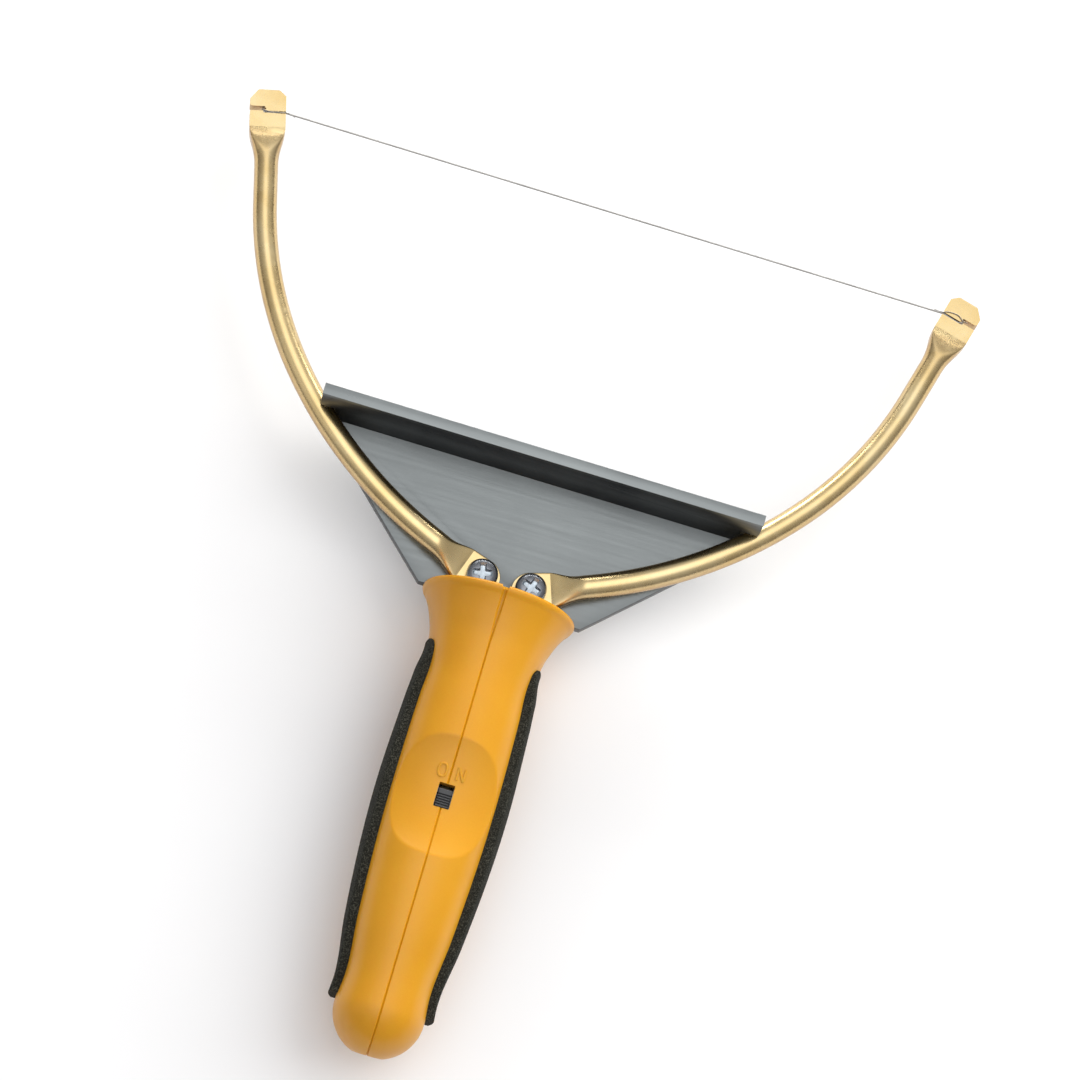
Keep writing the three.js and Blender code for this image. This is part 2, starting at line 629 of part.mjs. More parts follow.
// The wire lies in the groove of each head, steps into the slot and runs out past the outer edge.
function cuttingWire() {
  const half = HEAD.w / 2;
  const slotEnd = half - WIRE_SLOT.reach;
  const z = ROD_Z + HEAD.t / 2 - WIRE_GROOVE.depth + WIRE_R + 0.25;
  const entry = headPoint(WIRE_GROOVE.fromTip, -half);
  const end = cable([
    [entry.x - 2, entry.y, z],
    [entry.x - 0.6, entry.y, z],
    ...[
      headPoint(WIRE_GROOVE.fromTip, 0.8 - half),
      headPoint(WIRE_GROOVE.fromTip, slotEnd - 0.4),
      headPoint(WIRE_SLOT.fromTip + 0.2, slotEnd + 1.1),
      headPoint(WIRE_SLOT.fromTip, slotEnd + 2),
      headPoint(WIRE_SLOT.fromTip, half + 0.5),
    ].map(({ x, y }) => [x, y, z]),
  ], WIRE_R, 16);
  const span = cylinderX(WIRE_R, 1.5 - entry.x, entry.x - 1.5, entry.y, z, 8);
  return geometryOf(joined(span, end, mirrored(mergeVertices(end))));
}

// ---------------------------------------------------------------- clamp screws and terminals

// A pan head above the origin, a shank below it and a cross recess in the top.
function clampScrew() {
  const dome = new THREE.EllipseCurve(0, SCREW.headH - 1.5, SCREW.headR, 1.5, 0, Math.PI / 2);
  const profile = [
    new THREE.Vector2(0, -SCREW.length),
    new THREE.Vector2(SCREW.shankR - 0.5, -SCREW.length),
    new THREE.Vector2(SCREW.shankR, 0.5 - SCREW.length),
    new THREE.Vector2(SCREW.shankR, 0),
    new THREE.Vector2(SCREW.headR, 0),
    ...dome.getPoints(4),
  ];
  profile[profile.length - 1].x = 0;
  const turned = new THREE.LatheGeometry(profile, 24).rotateX(Math.PI / 2);
  const floor = SCREW.headH - SCREW.recess;
  const cross = joined(
    block(-2.3, 2.3, -0.55, 0.55, floor, SCREW.headH + 1),
    block(-0.55, 0.55, -2.3, 2.3, floor, SCREW.headH + 1),
  );
  return geometryOf(solid(turned).subtract(cross));
}

function lockWasher() {
  const ring = solid(cylinderZ(WASHER.r, 0, 0, -WASHER.t, 0)).subtract(
    solid(cylinderZ(CLEARANCE_HOLE_R, 0, 0, -WASHER.t - 1, 1)),
  );
  return geometryOf(ring.subtract(solid(block(0, WASHER.r + 1, -0.3, 0.3, -WASHER.t - 1, 1))));
}

// The right terminal bar; its notch sits in the bulkhead.
function terminalBar() {
  const top = -GUIDE.t;
  const bottom = top - BAR.t;
  const half = BAR.w / 2;
  const roundY = BAR.front - half;
  const bar = block(CLAMP.x - half, CLAMP.x + half, BAR.rear, roundY, bottom, top);
  const nose = cylinderZ(half, CLAMP.x, roundY, bottom, top);
  const tapped = cylinderZ(TAPPED_HOLE_R, CLAMP.x, CLAMP.y, bottom - 1, top + 1);
  const leadY = BAR.rear + BAR_LEAD_HOLE.inset;
  const leadHole = cylinderZ(BAR_LEAD_HOLE.r, CLAMP.x, leadY, bottom - 1, top + 1, 16);
  const edge = CLAMP.x + half;
  const notchRear = BULKHEAD.rear - 0.3;
  const notchFront = BULKHEAD.front + 0.3;
  const notch = block(edge - BAR.notch, edge + 1, notchRear, notchFront, bottom - 1, top + 1);
  return geometryOf(joined(bar, nose).subtract(joined(tapped, leadHole, notch)));
}

// An insulating block with a flange on each side of the bulkhead.
function terminalSpacer() {
  const half = CLAMP.x - BAR.w / 2 - 0.15;
  const { reach, flangeT, bottom, top } = SPACER;
  const webBottom = -GUIDE.t - BAR.t;
  const web = block(-half, half, BULKHEAD.rear - reach, BULKHEAD.front + reach, webBottom, -GUIDE.t);
  const flanges = [BULKHEAD.front + 0.2, BULKHEAD.rear - flangeT - 0.2].map((y) => {
    return block(-half, half, y, y + flangeT, bottom, top);
  });
  return geometryOf(joined(web, ...flanges));
}

// ---------------------------------------------------------------- power jack and leads

function jackBody() {
  const sleeve = cylinderY(JACK.r, JACK.front, JACK.rear, 32);
  const bore = cylinderY(JACK.boreR, JACK.front - 1, JACK.boreEnd, 32);
  const pinHole = cylinderY(JACK.pinR + 0.1, JACK.boreEnd - 1, JACK.rear + 1, 16);
  const { halfW, bottom, t, front } = JACK_CONTACT;
  const slotHalf = halfW + 0.2;
  const slotFront = JACK.front + front - 0.4;
  const slotTop = bottom + t + 0.15;
  const contactSlot = block(-slotHalf, slotHalf, slotFront, JACK.rear + 1, JACK.boreR - 0.6, slotTop);
  return leaned(geometryOf(solid(sleeve).subtract(joined(bore, pinHole, contactSlot))));
}

function jackPin() {
  return leaned(cylinderY(JACK.pinR, JACK.pinFront, JACK.rear + JACK_TAIL, 16));
}

function jackContact() {
  const { halfW, bottom, t, touch, front } = JACK_CONTACT;
  const start = JACK.front + front;
  const strip = block(-halfW, halfW, start, JACK.rear + JACK_TAIL, bottom, bottom + t);
  const dimple = block(-halfW, halfW, start + 0.6, start + 2.6, touch, bottom + t / 2);
  return leaned(geometryOf(joined(strip, dimple)));
}

// A point behind the jack, by distance from the socket's face and height above the jack's own axis.
function behindJack(along, up) {
  const lean = THREE.MathUtils.degToRad(SOCKET.lean);
  const point = new THREE.Vector2(along, up).rotateAround(new THREE.Vector2(), lean);
  return [SOCKET.y + point.x, SOCKET.z + point.y];
}

// From the jack's pin to the front terminal: with the knob forwards the contact bridges it to the middle one.
function leadJackToSwitch() {
  const [start, height] = behindJack(JACK.rear + JACK_TAIL + LEAD_STOP, 0);
  const end = TERMINAL_PLACES[2];
  return cable([
    [0, start, height],
    [0.4, start + 3, 1.5],
    [2.6, start + 9, 1.7],
    [2.8, SWITCH_Y - 10, 1.2],
    [2.8, end - 3, -1.4],
    [1, end - 0.6, -1.6],
    [0, end, TERMINAL_LEG.foot - LEAD_STOP],
  ], LEAD_R, 20);
}

// The last stretch of a lead, down to the rear end of a terminal bar.
function leadToBar(side) {
  return [
    [side * LEAD_LANE_X, BAR.rear - 16, 1.7],
    [side * (LEAD_LANE_X - 0.3), BAR.rear - 10, 0.4],
    [side * CLAMP.x, BAR.rear - 3.4, -3.6],
    [side * CLAMP.x, BAR.rear - LEAD_STOP, -GUIDE.t - BAR.t / 2],
  ];
}

function leadSwitchToBar() {
  const start = TERMINAL_PLACES[1];
  return cable([
    [0, start, TERMINAL_LEG.foot - LEAD_STOP],
    [-1.2, start + 0.6, -1.6],
    [-5.5, start + 6, -1],
    [-LEAD_LANE_X, start + 14, 1.4],
    ...leadToBar(-1),
  ], LEAD_R, 22);
}

function leadJackToBar() {
  const contactMiddle = JACK_CONTACT.bottom + JACK_CONTACT.t / 2;
  const [start, height] = behindJack(JACK.rear + JACK_TAIL + LEAD_STOP, contactMiddle);
  return cable([
    [0, start, height],
    [1.6, start + 3, height],
    [5.6, start + 10, 2.4],
    [LEAD_LANE_X, SWITCH_Y - 10, 1.6],
    ...leadToBar(1),
  ], LEAD_R, 28);
}

// ---------------------------------------------------------------- assembly

const cutter = new THREE.Group();
cutter.position.y = -GUIDE.faceY;

function place(name, geometry, material, x = 0, y = 0, z = 0) {
  const mesh = new THREE.Mesh(geometry, material);
  mesh.name = name;
  mesh.position.set(x, y, z);
  cutter.add(mesh);
}

const shells = shellHalves();
place('handle_shell_left', shells.left, amberPlastic());
place('handle_shell_right', shells.right, amberPlastic());

const foam = foamStrip();
place('foam_grip_right', foam, blackFoam());
place('foam_grip_left', mirrored(foam), blackFoam());

place('guide_plate', guidePlate(), blackGuide());

const arm = bowArm();
place('bow_arm_right', arm, satinBrass());
place('bow_arm_left', mirrored(arm), satinBrass());
place('cutting_wire', cuttingWire(), wireSteel());

const bar = terminalBar();
place('terminal_bar_right', bar, satinBrass());
place('terminal_bar_left', mirrored(bar), satinBrass());
place('terminal_spacer', terminalSpacer(), nylon());

for (const [side, x] of [['left', -CLAMP.x], ['right', CLAMP.x]]) {
  const underHead = TAB.t + WASHER.t;
  place(`lock_washer_${side}`, lockWasher(), zincSteel(), x, CLAMP.y, underHead);
  place(`clamp_screw_${side}`, clampScrew(), zincSteel(), x, CLAMP.y, underHead);
}

const knobRestY = SWITCH_Y - SWITCH_SLOT.l / 2 + KNOB_END_GAP + KNOB.l / 2;
place('switch_knob', switchKnob(), darkPlastic(), 0, knobRestY, 0);
place('switch_contact', switchContact(), satinBrass(), 0, knobRestY, 0);
place('switch_frame', switchFrame(), zincSteel());
place('switch_base', switchBase(), phenolic());
TERMINAL_PLACES.forEach((y, i) => place(`switch_terminal_${i + 1}`, switchTerminal(), satinBrass(), 0, y));

place('power_jack_body', jackBody(), darkPlastic());
place('power_jack_pin', jackPin(), zincSteel());
place('power_jack_contact', jackContact(), satinBrass());

place('lead_jack_to_switch', leadJackToSwitch(), redSleeve());
place('lead_switch_to_bar', leadSwitchToBar(), redSleeve());
place('lead_jack_to_bar', leadJackToBar(), blackSleeve());

const screwNames = ['shell_screw_front', 'shell_screw_middle', 'shell_screw_rear'];
screwNames.forEach((name, i) => place(name, shellScrew(SHELL_SCREW_Y[i]), zincSteel()));

export default cutter;
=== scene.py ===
"""Looks for the hot wire cutter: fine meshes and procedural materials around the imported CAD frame.

Shapes are worked out in millimetres from the centre of the handle's mouth (+Y to the wire, +Z switch side up)
and put into the row frame by `row()`, whose datum comes from the CAD boxes.
"""
import json
import math

import bmesh
import bpy
import numpy as np
from mathutils import Matrix, Vector

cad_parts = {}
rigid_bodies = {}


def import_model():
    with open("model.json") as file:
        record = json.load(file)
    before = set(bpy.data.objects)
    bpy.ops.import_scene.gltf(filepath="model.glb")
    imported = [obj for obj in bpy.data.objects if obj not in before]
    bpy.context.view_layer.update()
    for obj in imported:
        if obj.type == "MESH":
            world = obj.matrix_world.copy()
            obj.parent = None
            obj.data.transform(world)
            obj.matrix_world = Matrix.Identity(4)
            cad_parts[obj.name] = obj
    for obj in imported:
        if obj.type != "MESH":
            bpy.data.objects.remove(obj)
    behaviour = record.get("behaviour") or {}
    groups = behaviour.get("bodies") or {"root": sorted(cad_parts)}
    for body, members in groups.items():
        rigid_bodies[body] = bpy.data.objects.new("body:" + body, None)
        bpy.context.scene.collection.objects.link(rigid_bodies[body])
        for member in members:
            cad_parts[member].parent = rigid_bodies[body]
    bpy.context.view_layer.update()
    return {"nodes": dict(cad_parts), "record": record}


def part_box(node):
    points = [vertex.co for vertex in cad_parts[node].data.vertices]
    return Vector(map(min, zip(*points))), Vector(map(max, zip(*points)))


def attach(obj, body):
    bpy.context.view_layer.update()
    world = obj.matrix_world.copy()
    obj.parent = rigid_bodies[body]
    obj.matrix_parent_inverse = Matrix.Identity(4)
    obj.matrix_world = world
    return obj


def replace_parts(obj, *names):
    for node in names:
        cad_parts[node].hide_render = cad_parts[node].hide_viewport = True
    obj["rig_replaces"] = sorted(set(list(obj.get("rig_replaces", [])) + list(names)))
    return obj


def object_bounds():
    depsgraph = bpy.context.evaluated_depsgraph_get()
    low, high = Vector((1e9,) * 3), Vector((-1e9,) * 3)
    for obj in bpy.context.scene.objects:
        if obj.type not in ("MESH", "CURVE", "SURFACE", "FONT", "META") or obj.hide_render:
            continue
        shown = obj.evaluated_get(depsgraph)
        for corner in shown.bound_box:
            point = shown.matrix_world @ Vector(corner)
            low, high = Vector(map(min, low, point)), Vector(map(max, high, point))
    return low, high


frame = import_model()

MM = 0.001
ROOT = "handle_and_bow"
LIP_DEPTH = 0.8
MOUTH_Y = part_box("handle_shell_left")[1].y / MM - LIP_DEPTH

# Handle body: half widths and half depths at places along y
RIM_W, RIM_D = 20.4, 18.9
NECK_Y = -13.6
FLARE_POWER = 1.7
TURNS = ((NECK_Y, 14.9, 14.9), (-20, 14.1, 14.6), (-30, 14.5, 14.9), (-54, 15.2, 16.2), (-89, 13.1, 14.5),
         (-104.5, 11.3, 12.9))
BULB = (-110, 11.6, 12.8)
DOME_LENGTH = 11.5
WALL = 2.4
SQUARENESS = 2.1
SEAM_GAP = 0.015
SOCKET = {"y": -120.4, "z": -3.2, "lean": math.radians(14), "hole": 3.3}

# Inside the shells, as the CAD has them
BULKHEAD = (-10, -7)
SWITCH_RIB = {"offset": 8, "half": 0.8, "inner": 4.1, "bottom": 4.5}
JACK_COLLARS = (-114.6, -109)
SHELL_SCREWS = (-30, -78, -98)
SHELL_SCREW = {"z": -3, "head": 2.5, "pilot": 1.4, "boss": 2.9, "depth": 3.0, "length": 14.5}
BAR_OPENING = {"half": 9.9, "low": -5.75, "high": -2.85}

# Thumb dish and switch
SWITCH_Y = -55.3
DISH = {"floor": 12.8, "radius": 45, "crown": 0.0216, "front": -34, "rear": -76}
SLOT = (4.1, 6.4)

# Foam strips
FOAM = {"front": -14.3, "rear": -108.5, "let_in": 1.0, "corner": 2.8, "proud": 2.15, "front_proud": 0.7,
        "taper": 9, "edge": 0.6, "rear_edge": 0.08}
FOAM_HEIGHTS = ((-17.1, 6.9), (-30, 6.8), (-55, 8.1), (-90, 5.8))
FOAM_REAR_HEIGHTS = (2.6, 5.8)

# Guide and bow
CLAMP = (6.55, 6.3)
ROD_R, ROD_Z = 3.15, 4.2
TAB = {"heading": 17.5, "half": 4.85, "t": 3, "flat": 5.3, "straight": 4}
# radius of each bend and the heading it ends at
BENDS = ((122.7, 50), (109.2, 74.8))
HEAD = {"straight": 32.5, "half": 4.8, "t": 3.5, "flat": 11}
# corner clips of the head: across and along, on its outer and inner side
CLIPS = {"outer": (2.4, 2.9), "inner": (2.0, 1.9)}
TIP_CHAMFER = 0.4
# the slot for the wire and the groove beside it, from the tip; the slot's inner end, from the centreline
SLOT_AT, GROOVE_AT, SLOT_END = 5.7, 6.6, 0.75
HEAD_TOP = ROD_Z + HEAD["t"] / 2
ARM_SHARP = 24
WIRE_R, TAIL_R = 0.26, 0.13

LABELS = {1: "right", -1: "left"}


# -------- mesh helpers

def lerp(a, b, t):
    return a + (b - a) * t


def smooth(a, b, x):
    t = np.clip((x - a) / (b - a), 0, 1)
    return t * t * (3 - 2 * t)


def soft_min(a, b, k):
    h = np.clip(0.5 + 0.5 * (b - a) / k, 0, 1)
    return lerp(b, a, h) - k * h * (1 - h)


def signed_power(v, p):
    return np.sign(v) * np.abs(v) ** p


def row(points):
    """Millimetres from the mouth's centre, as metres in the row frame."""
    return (np.asarray(points, float) + (0, MOUTH_Y, 0)) * MM


def grid_faces(rows, cols, wrap_rows=False, wrap_cols=False, start=0):
    r = np.arange(rows if wrap_rows else rows - 1)
    c = np.arange(cols if wrap_cols else cols - 1)
    r, c = [m.ravel() for m in np.meshgrid(r, c, indexing="ij")]
    r1, c1 = (r + 1) % rows, (c + 1) % cols
    return (np.stack([r * cols + c, r * cols + c1, r1 * cols + c1, r1 * cols + c], -1) + start).tolist()


def tidy_mesh(mesh, sharp_deg):
    """Merges doubles, turns faces outwards, shades smooth and marks edges sharper than an angle."""
    bm = bmesh.new()
    bm.from_mesh(mesh)
    bmesh.ops.remove_doubles(bm, verts=bm.verts, dist=1e-7)
    bmesh.ops.dissolve_degenerate(bm, edges=bm.edges, dist=1e-8)
    bmesh.ops.recalc_face_normals(bm, faces=bm.faces)
    limit = math.radians(sharp_deg)
    for face in bm.faces:
        face.smooth = True
    for edge in bm.edges:
        edge.smooth = not (edge.is_manifold and edge.calc_face_angle(0) > limit)
    bm.to_mesh(mesh)
    bm.free()


def place(name, data):
    obj = bpy.data.objects.new(name, data)
    bpy.context.scene.collection.objects.link(obj)
    return obj


def make(name, points, faces, sharp_deg=32):
    mesh = bpy.data.meshes.new(name)
    mesh.from_pydata(row(points).tolist(), [], faces)
    tidy_mesh(mesh, sharp_deg)
    return place(name, mesh)


def bake(obj, sharp_deg=32):
    """Replaces the object's mesh by what its modifiers make."""
    bpy.context.view_layer.update()
    graph = bpy.context.evaluated_depsgraph_get()
    mesh = bpy.data.meshes.new_from_object(obj.evaluated_get(graph))
    obj.modifiers.clear()
    obj.data = mesh
    tidy_mesh(mesh, sharp_deg)
    return obj


def boolean(obj, tools, operation="DIFFERENCE", sharp_deg=32):
    for tool in tools:
        mod = obj.modifiers.new("cut", "BOOLEAN")
        mod.object = tool
        mod.operation = operation
        mod.solver = "EXACT"
    bake(obj, sharp_deg)
    for tool in tools:
        bpy.data.objects.remove(tool)
    return obj


def prism_faces(n):
    """Two ends of n points each and the sides between them."""
    sides = [[i, (i + 1) % n, n + (i + 1) % n, n + i] for i in range(n)]
    return [list(range(n)), list(range(n, 2 * n)), *sides]


def prism(name, outline, axis, low, high):
    """An outline of (u, v) pairs standing between two heights along x, y or z."""
    at = "xyz".index(axis)
    points = [(*pair[:at], h, *pair[at:]) for h in (low, high) for pair in outline]
    return make(name, points, prism_faces(len(outline)))


def add_bevel(obj, width, segments, angle):
    mod = obj.modifiers.new("round", "BEVEL")
    mod.width = width * MM
    mod.segments = segments
    mod.limit_method = "ANGLE"
    mod.angle_limit = math.radians(angle)
    return mod


def round_edges(obj, width, segments=3, angle=30, sharp_deg=50):
    add_bevel(obj, width, segments, angle)
    return bake(obj, sharp_deg)


def move_points(obj, move):
    """Passes an object's points, in millimetres, through a function."""
    points = np.array([v.co for v in obj.data.vertices]) / MM - (0, MOUTH_Y, 0)
    obj.data.vertices.foreach_set("co", row(move(points)).ravel())
    obj.data.update()


def lathe(name, profile, sides=96, axis="z", at=(0, 0, 0), sharp_deg=32, move=None):
    """Turns (radius, height) pairs; the first and last radius are nought, which closes it."""
    profile = np.asarray(profile, float)
    angle = np.linspace(0, 2 * math.pi, sides, endpoint=False)
    r, h = profile[:, 0][:, None], profile[:, 1][:, None]
    u, v, w = r * np.cos(angle), r * np.sin(angle), h + 0 * angle
    order = {"x": (w, u, v), "y": (u, w, v), "z": (u, v, w)}[axis]
    points = np.stack(order, -1).reshape(-1, 3) + at
    if move:
        points = move(points)
    return make(name, points, grid_faces(len(profile), sides, wrap_cols=True), sharp_deg)


def tube(name, path, radius, sides):
    """A round tube along a path of points, with its section carried along without twist."""
    path = np.asarray(path, float)
    along = np.gradient(path, axis=0)
    along /= np.linalg.norm(along, axis=1)[:, None]
    side = np.cross(along[0], (0.0, 0.0, 1.0))
    angle = np.linspace(0, 2 * math.pi, sides, endpoint=False)
    rings = []
    for p, t in zip(path, along):
        side = side - t * (side @ t)
        side /= np.linalg.norm(side)
        up = np.cross(side, t)
        rings.append(p + radius * (np.outer(np.cos(angle), side) + np.outer(np.sin(angle), up)))
    n = len(path)
    faces = grid_faces(n, sides, wrap_cols=True)
    faces += [list(range(sides)), list(range((n - 1) * sides, n * sides))]
    return make(name, np.concatenate(rings), faces)


def through(points, count):
    """A smooth curve through points (centripetal Catmull-Rom), sampled evenly by parameter."""
    p = np.asarray(points, float)
    p = np.vstack([2 * p[0] - p[1], p, 2 * p[-1] - p[-2]])
    steps = max(2, count // (len(p) - 3))
    out = []
    for i in range(1, len(p) - 2):
        a, b, c, d = p[i - 1:i + 3]
        knots = np.cumsum([0, *np.linalg.norm(np.diff(p[i - 1:i + 3], axis=0), axis=1) ** 0.5])
        for t in np.linspace(knots[1], knots[2], steps, endpoint=False):

            def between(first, last, start, end):
                lo, hi = knots[first], knots[last]
                return (hi - t) / (hi - lo) * start + (t - lo) / (hi - lo) * end

            middle = between(1, 2, b, c)
            before = between(0, 2, between(0, 1, a, b), middle)
            after = between(1, 3, middle, between(2, 3, c, d))
            out.append(between(1, 2, before, after))
    out.append(p[-2])
    return np.array(out)


# -------- materials

def fill_ramp(ramp, stops):
    while len(ramp.elements) < len(stops):
        ramp.elements.new(0.5)
    for element, (at, color) in zip(ramp.elements, stops):
        element.position = at
        element.color = (*color, 1)


class Nodes:
    """A node material under construction; `mat` is the result."""

    def __init__(self, name):
        self.mat = bpy.data.materials.new(name)
        self.mat.use_nodes = True
        self.tree = self.mat.node_tree
        self.bsdf = self.tree.nodes["Principled BSDF"]
        self.coord = self.tree.nodes.new("ShaderNodeTexCoord").outputs["Object"]

    def add(self, kind, inputs=(), **props):
        node = self.tree.nodes.new(kind)
        for key, value in props.items():
            setattr(node, key, value)
        for key, value in dict(inputs).items():
            self.put(node.inputs[key], value)
        return node

    def put(self, socket, value):
        if isinstance(value, bpy.types.NodeSocket):
            self.tree.links.new(value, socket)
        else:
            socket.default_value = value

    def set(self, **inputs):
        for key, value in inputs.items():
            self.put(self.bsdf.inputs[key.replace("_", " ")], value)

    def stretched(self, scale):
        return self.add("ShaderNodeMapping", {"Vector": self.coord, "Scale": scale}).outputs["Vector"]

    def noise(self, scale, detail=4, rough=0.55, vector=None, distortion=0):
        inputs = {"Vector": vector or self.coord, "Scale": scale, "Detail": detail, "Roughness": rough,
                  "Distortion": distortion}
        return self.add("ShaderNodeTexNoise", inputs).outputs["Fac"]

    def cells(self, scale):
        return self.add("ShaderNodeTexVoronoi", {"Vector": self.coord, "Scale": scale}).outputs["Distance"]

    def ramp(self, fac, *stops):
        node = self.add("ShaderNodeValToRGB", {"Fac": fac})
        fill_ramp(node.color_ramp, stops)
        return node.outputs["Color"]

    def span(self, fac, low, high, from_low=0.0, from_high=1.0):
        inputs = {"Value": fac, "From Min": from_low, "From Max": from_high, "To Min": low, "To Max": high}
        return self.add("ShaderNodeMapRange", inputs).outputs["Result"]

    def math(self, operation, a, b=0.0):
        node = self.add("ShaderNodeMath", operation=operation)
        self.put(node.inputs[0], a)
        self.put(node.inputs[1], b)
        return node.outputs[0]

    def sum(self, a, share_a, b, share_b):
        return self.math("ADD", self.math("MULTIPLY", a, share_a), self.math("MULTIPLY", b, share_b))

    def part(self, vector, axis):
        return self.add("ShaderNodeSeparateXYZ", {0: vector}).outputs[axis]

    def mix(self, fac, a, b):
        node = self.add("ShaderNodeMix", data_type="RGBA")
        self.put(node.inputs["Factor"], fac)
        for key, value in (("A", a), ("B", b)):
            socket = [s for s in node.inputs if s.name == key and s.type == "RGBA"][0]
            self.put(socket, value if isinstance(value, bpy.types.NodeSocket) else (*value, 1))
        return [s for s in node.outputs if s.type == "RGBA"][0]

    def bump(self, height, strength, distance, normal=None):
        """Height texture of a depth in millimetres, over an earlier bump if one is given."""
        inputs = {"Height": height, "Strength": strength, "Distance": distance * MM}
        if normal is not None:
            inputs["Normal"] = normal
        return self.add("ShaderNodeBump", inputs).outputs["Normal"]

    def facing(self):
        """The surface normal in the object's own axes."""
        return self.tree.nodes["Texture Coordinate"].outputs["Normal"]

    def edges(self, radius):
        """Near 1 on worn outer edges, 0 elsewhere."""
        bevel = self.add("ShaderNodeBevel", {"Radius": radius * MM}, samples=4).outputs["Normal"]
        geometry = self.add("ShaderNodeNewGeometry").outputs["Normal"]
        node = self.add("ShaderNodeVectorMath", operation="DOT_PRODUCT")
        self.put(node.inputs[0], bevel)
        self.put(node.inputs[1], geometry)
        return self.span(node.outputs["Value"], 1, 0, 0.80, 0.995)


def moulded(name, low, mid, high, roughness, subsurface=0.0, mottle=35):
    """Plastic whose colour drifts between three tones, with a fine moulded texture and light scuffs."""
    n = Nodes(name)
    broad = n.noise(mottle, 3)
    colour = n.ramp(broad, (0.3, low), (0.5, mid), (0.7, high))
    fine = n.noise(2600, 2, 0.6)
    scuff = n.noise(240, 6, 0.7)
    n.set(Base_Color=colour)
    n.set(Roughness=n.span(n.sum(fine, 0.4, scuff, 0.6), roughness - 0.06, roughness + 0.10, 0.3, 0.7))
    n.set(Normal=n.bump(fine, 0.25, 0.06, n.bump(scuff, 0.10, 0.05)), IOR=1.5)
    if subsurface:
        n.set(Subsurface_Weight=subsurface, Subsurface_Radius=(1.0, 0.45, 0.12), Subsurface_Scale=1.1 * MM)
    return n.mat


def amber_material():
    n = Nodes("amber_plastic")
    broad = n.noise(28, 3, 0.5)
    colour = n.ramp(broad, (0.32, (0.64, 0.272, 0.004)), (0.52, (0.68, 0.300, 0.005)),
                    (0.72, (0.72, 0.328, 0.008)))
    speck = n.cells(900)
    grain = n.noise(2300, 3, 0.65)
    scuff = n.noise(170, 6, 0.7)
    tint = n.span(grain, 0.0, 1.0, 0.35, 0.65)
    colour = n.mix(n.math("MULTIPLY", tint, 0.12), colour, (0.84, 0.42, 0.02))
    n.set(Base_Color=colour)
    n.set(Roughness=n.span(n.sum(grain, 0.5, scuff, 0.5), 0.30, 0.44, 0.3, 0.7))
    n.set(Normal=n.bump(grain, 0.16, 0.05, n.bump(speck, 0.05, 0.05, n.bump(scuff, 0.06, 0.06))))
    n.set(Subsurface_Weight=0.2, Subsurface_Radius=(1.0, 0.40, 0.05), Subsurface_Scale=1.2 * MM)
    n.set(IOR=1.5, Specular_IOR_Level=0.5)
    return n.mat


def foam_material():
    n = Nodes("black_foam")
    cell = n.cells(3300)
    coarse = n.cells(1300)
    grain = n.noise(2900, 4, 0.7)
    broad = n.noise(60, 3)
    mixed = n.sum(cell, 0.55, grain, 0.75)
    colour = n.ramp(mixed, (0.36, (0.004, 0.004, 0.003)), (0.62, (0.012, 0.012, 0.009)),
                    (0.86, (0.075, 0.074, 0.058)))
    colour = n.mix(n.span(broad, 0.0, 0.3, 0.35, 0.7), colour, (0.020, 0.020, 0.015))
    n.set(Base_Color=colour)
    n.set(Roughness=n.span(grain, 0.72, 0.97, 0.3, 0.7))
    n.set(Normal=n.bump(mixed, 0.7, 0.14, n.bump(coarse, 0.3, 0.2)))
    n.set(Specular_IOR_Level=0.12)
    return n.mat


def guide_material():
    n = Nodes("black_guide")
    streak = n.noise(900, 4, 0.6, n.stretched((0.035, 1.0, 1.0)))
    cloud = n.noise(26, 5, 0.6, distortion=0.4)
    fine = n.noise(3000, 2)
    scratch = n.noise(1500, 3, 0.7, n.stretched((0.02, 0.7, 1.0)))
    base = n.ramp(cloud, (0.30, (0.014, 0.015, 0.017)), (0.55, (0.020, 0.022, 0.024)),
                  (0.75, (0.028, 0.030, 0.033)))
    base = n.mix(n.span(streak, 0.0, 0.35, 0.42, 0.72), base, (0.06, 0.065, 0.072))
    worn = n.math("MULTIPLY", n.edges(0.5), n.span(n.noise(420, 4), 0, 1, 0.35, 0.65))
    base = n.mix(n.math("MULTIPLY", worn, 0.5), base, (0.16, 0.17, 0.18))
    n.set(Base_Color=base)
    n.set(Roughness=n.span(n.sum(streak, 0.5, cloud, 0.5), 0.26, 0.44, 0.35, 0.65))
    n.set(Normal=n.bump(streak, 0.10, 0.05, n.bump(fine, 0.08, 0.02, n.bump(scratch, 0.08, 0.04))))
    # painted sheen: faces turned up, and most of all the flange's top edge, get a higher index and so reflect
    # more strongly than the rest
    painted_sheen = n.math("ADD", n.span(n.part(n.facing(), "Z"), 1.5, 2.8, 0.3, 0.7),
                   n.span(n.part(n.coord, "Z"), 0, 0.6, 0.0145, 0.016))
    n.set(IOR=n.math("ADD", painted_sheen, n.span(cloud, -0.25, 0.25, 0.35, 0.65)))
    n.set(Specular_Tint=(0.92, 0.99, 0.98, 1.0))
    return n.mat


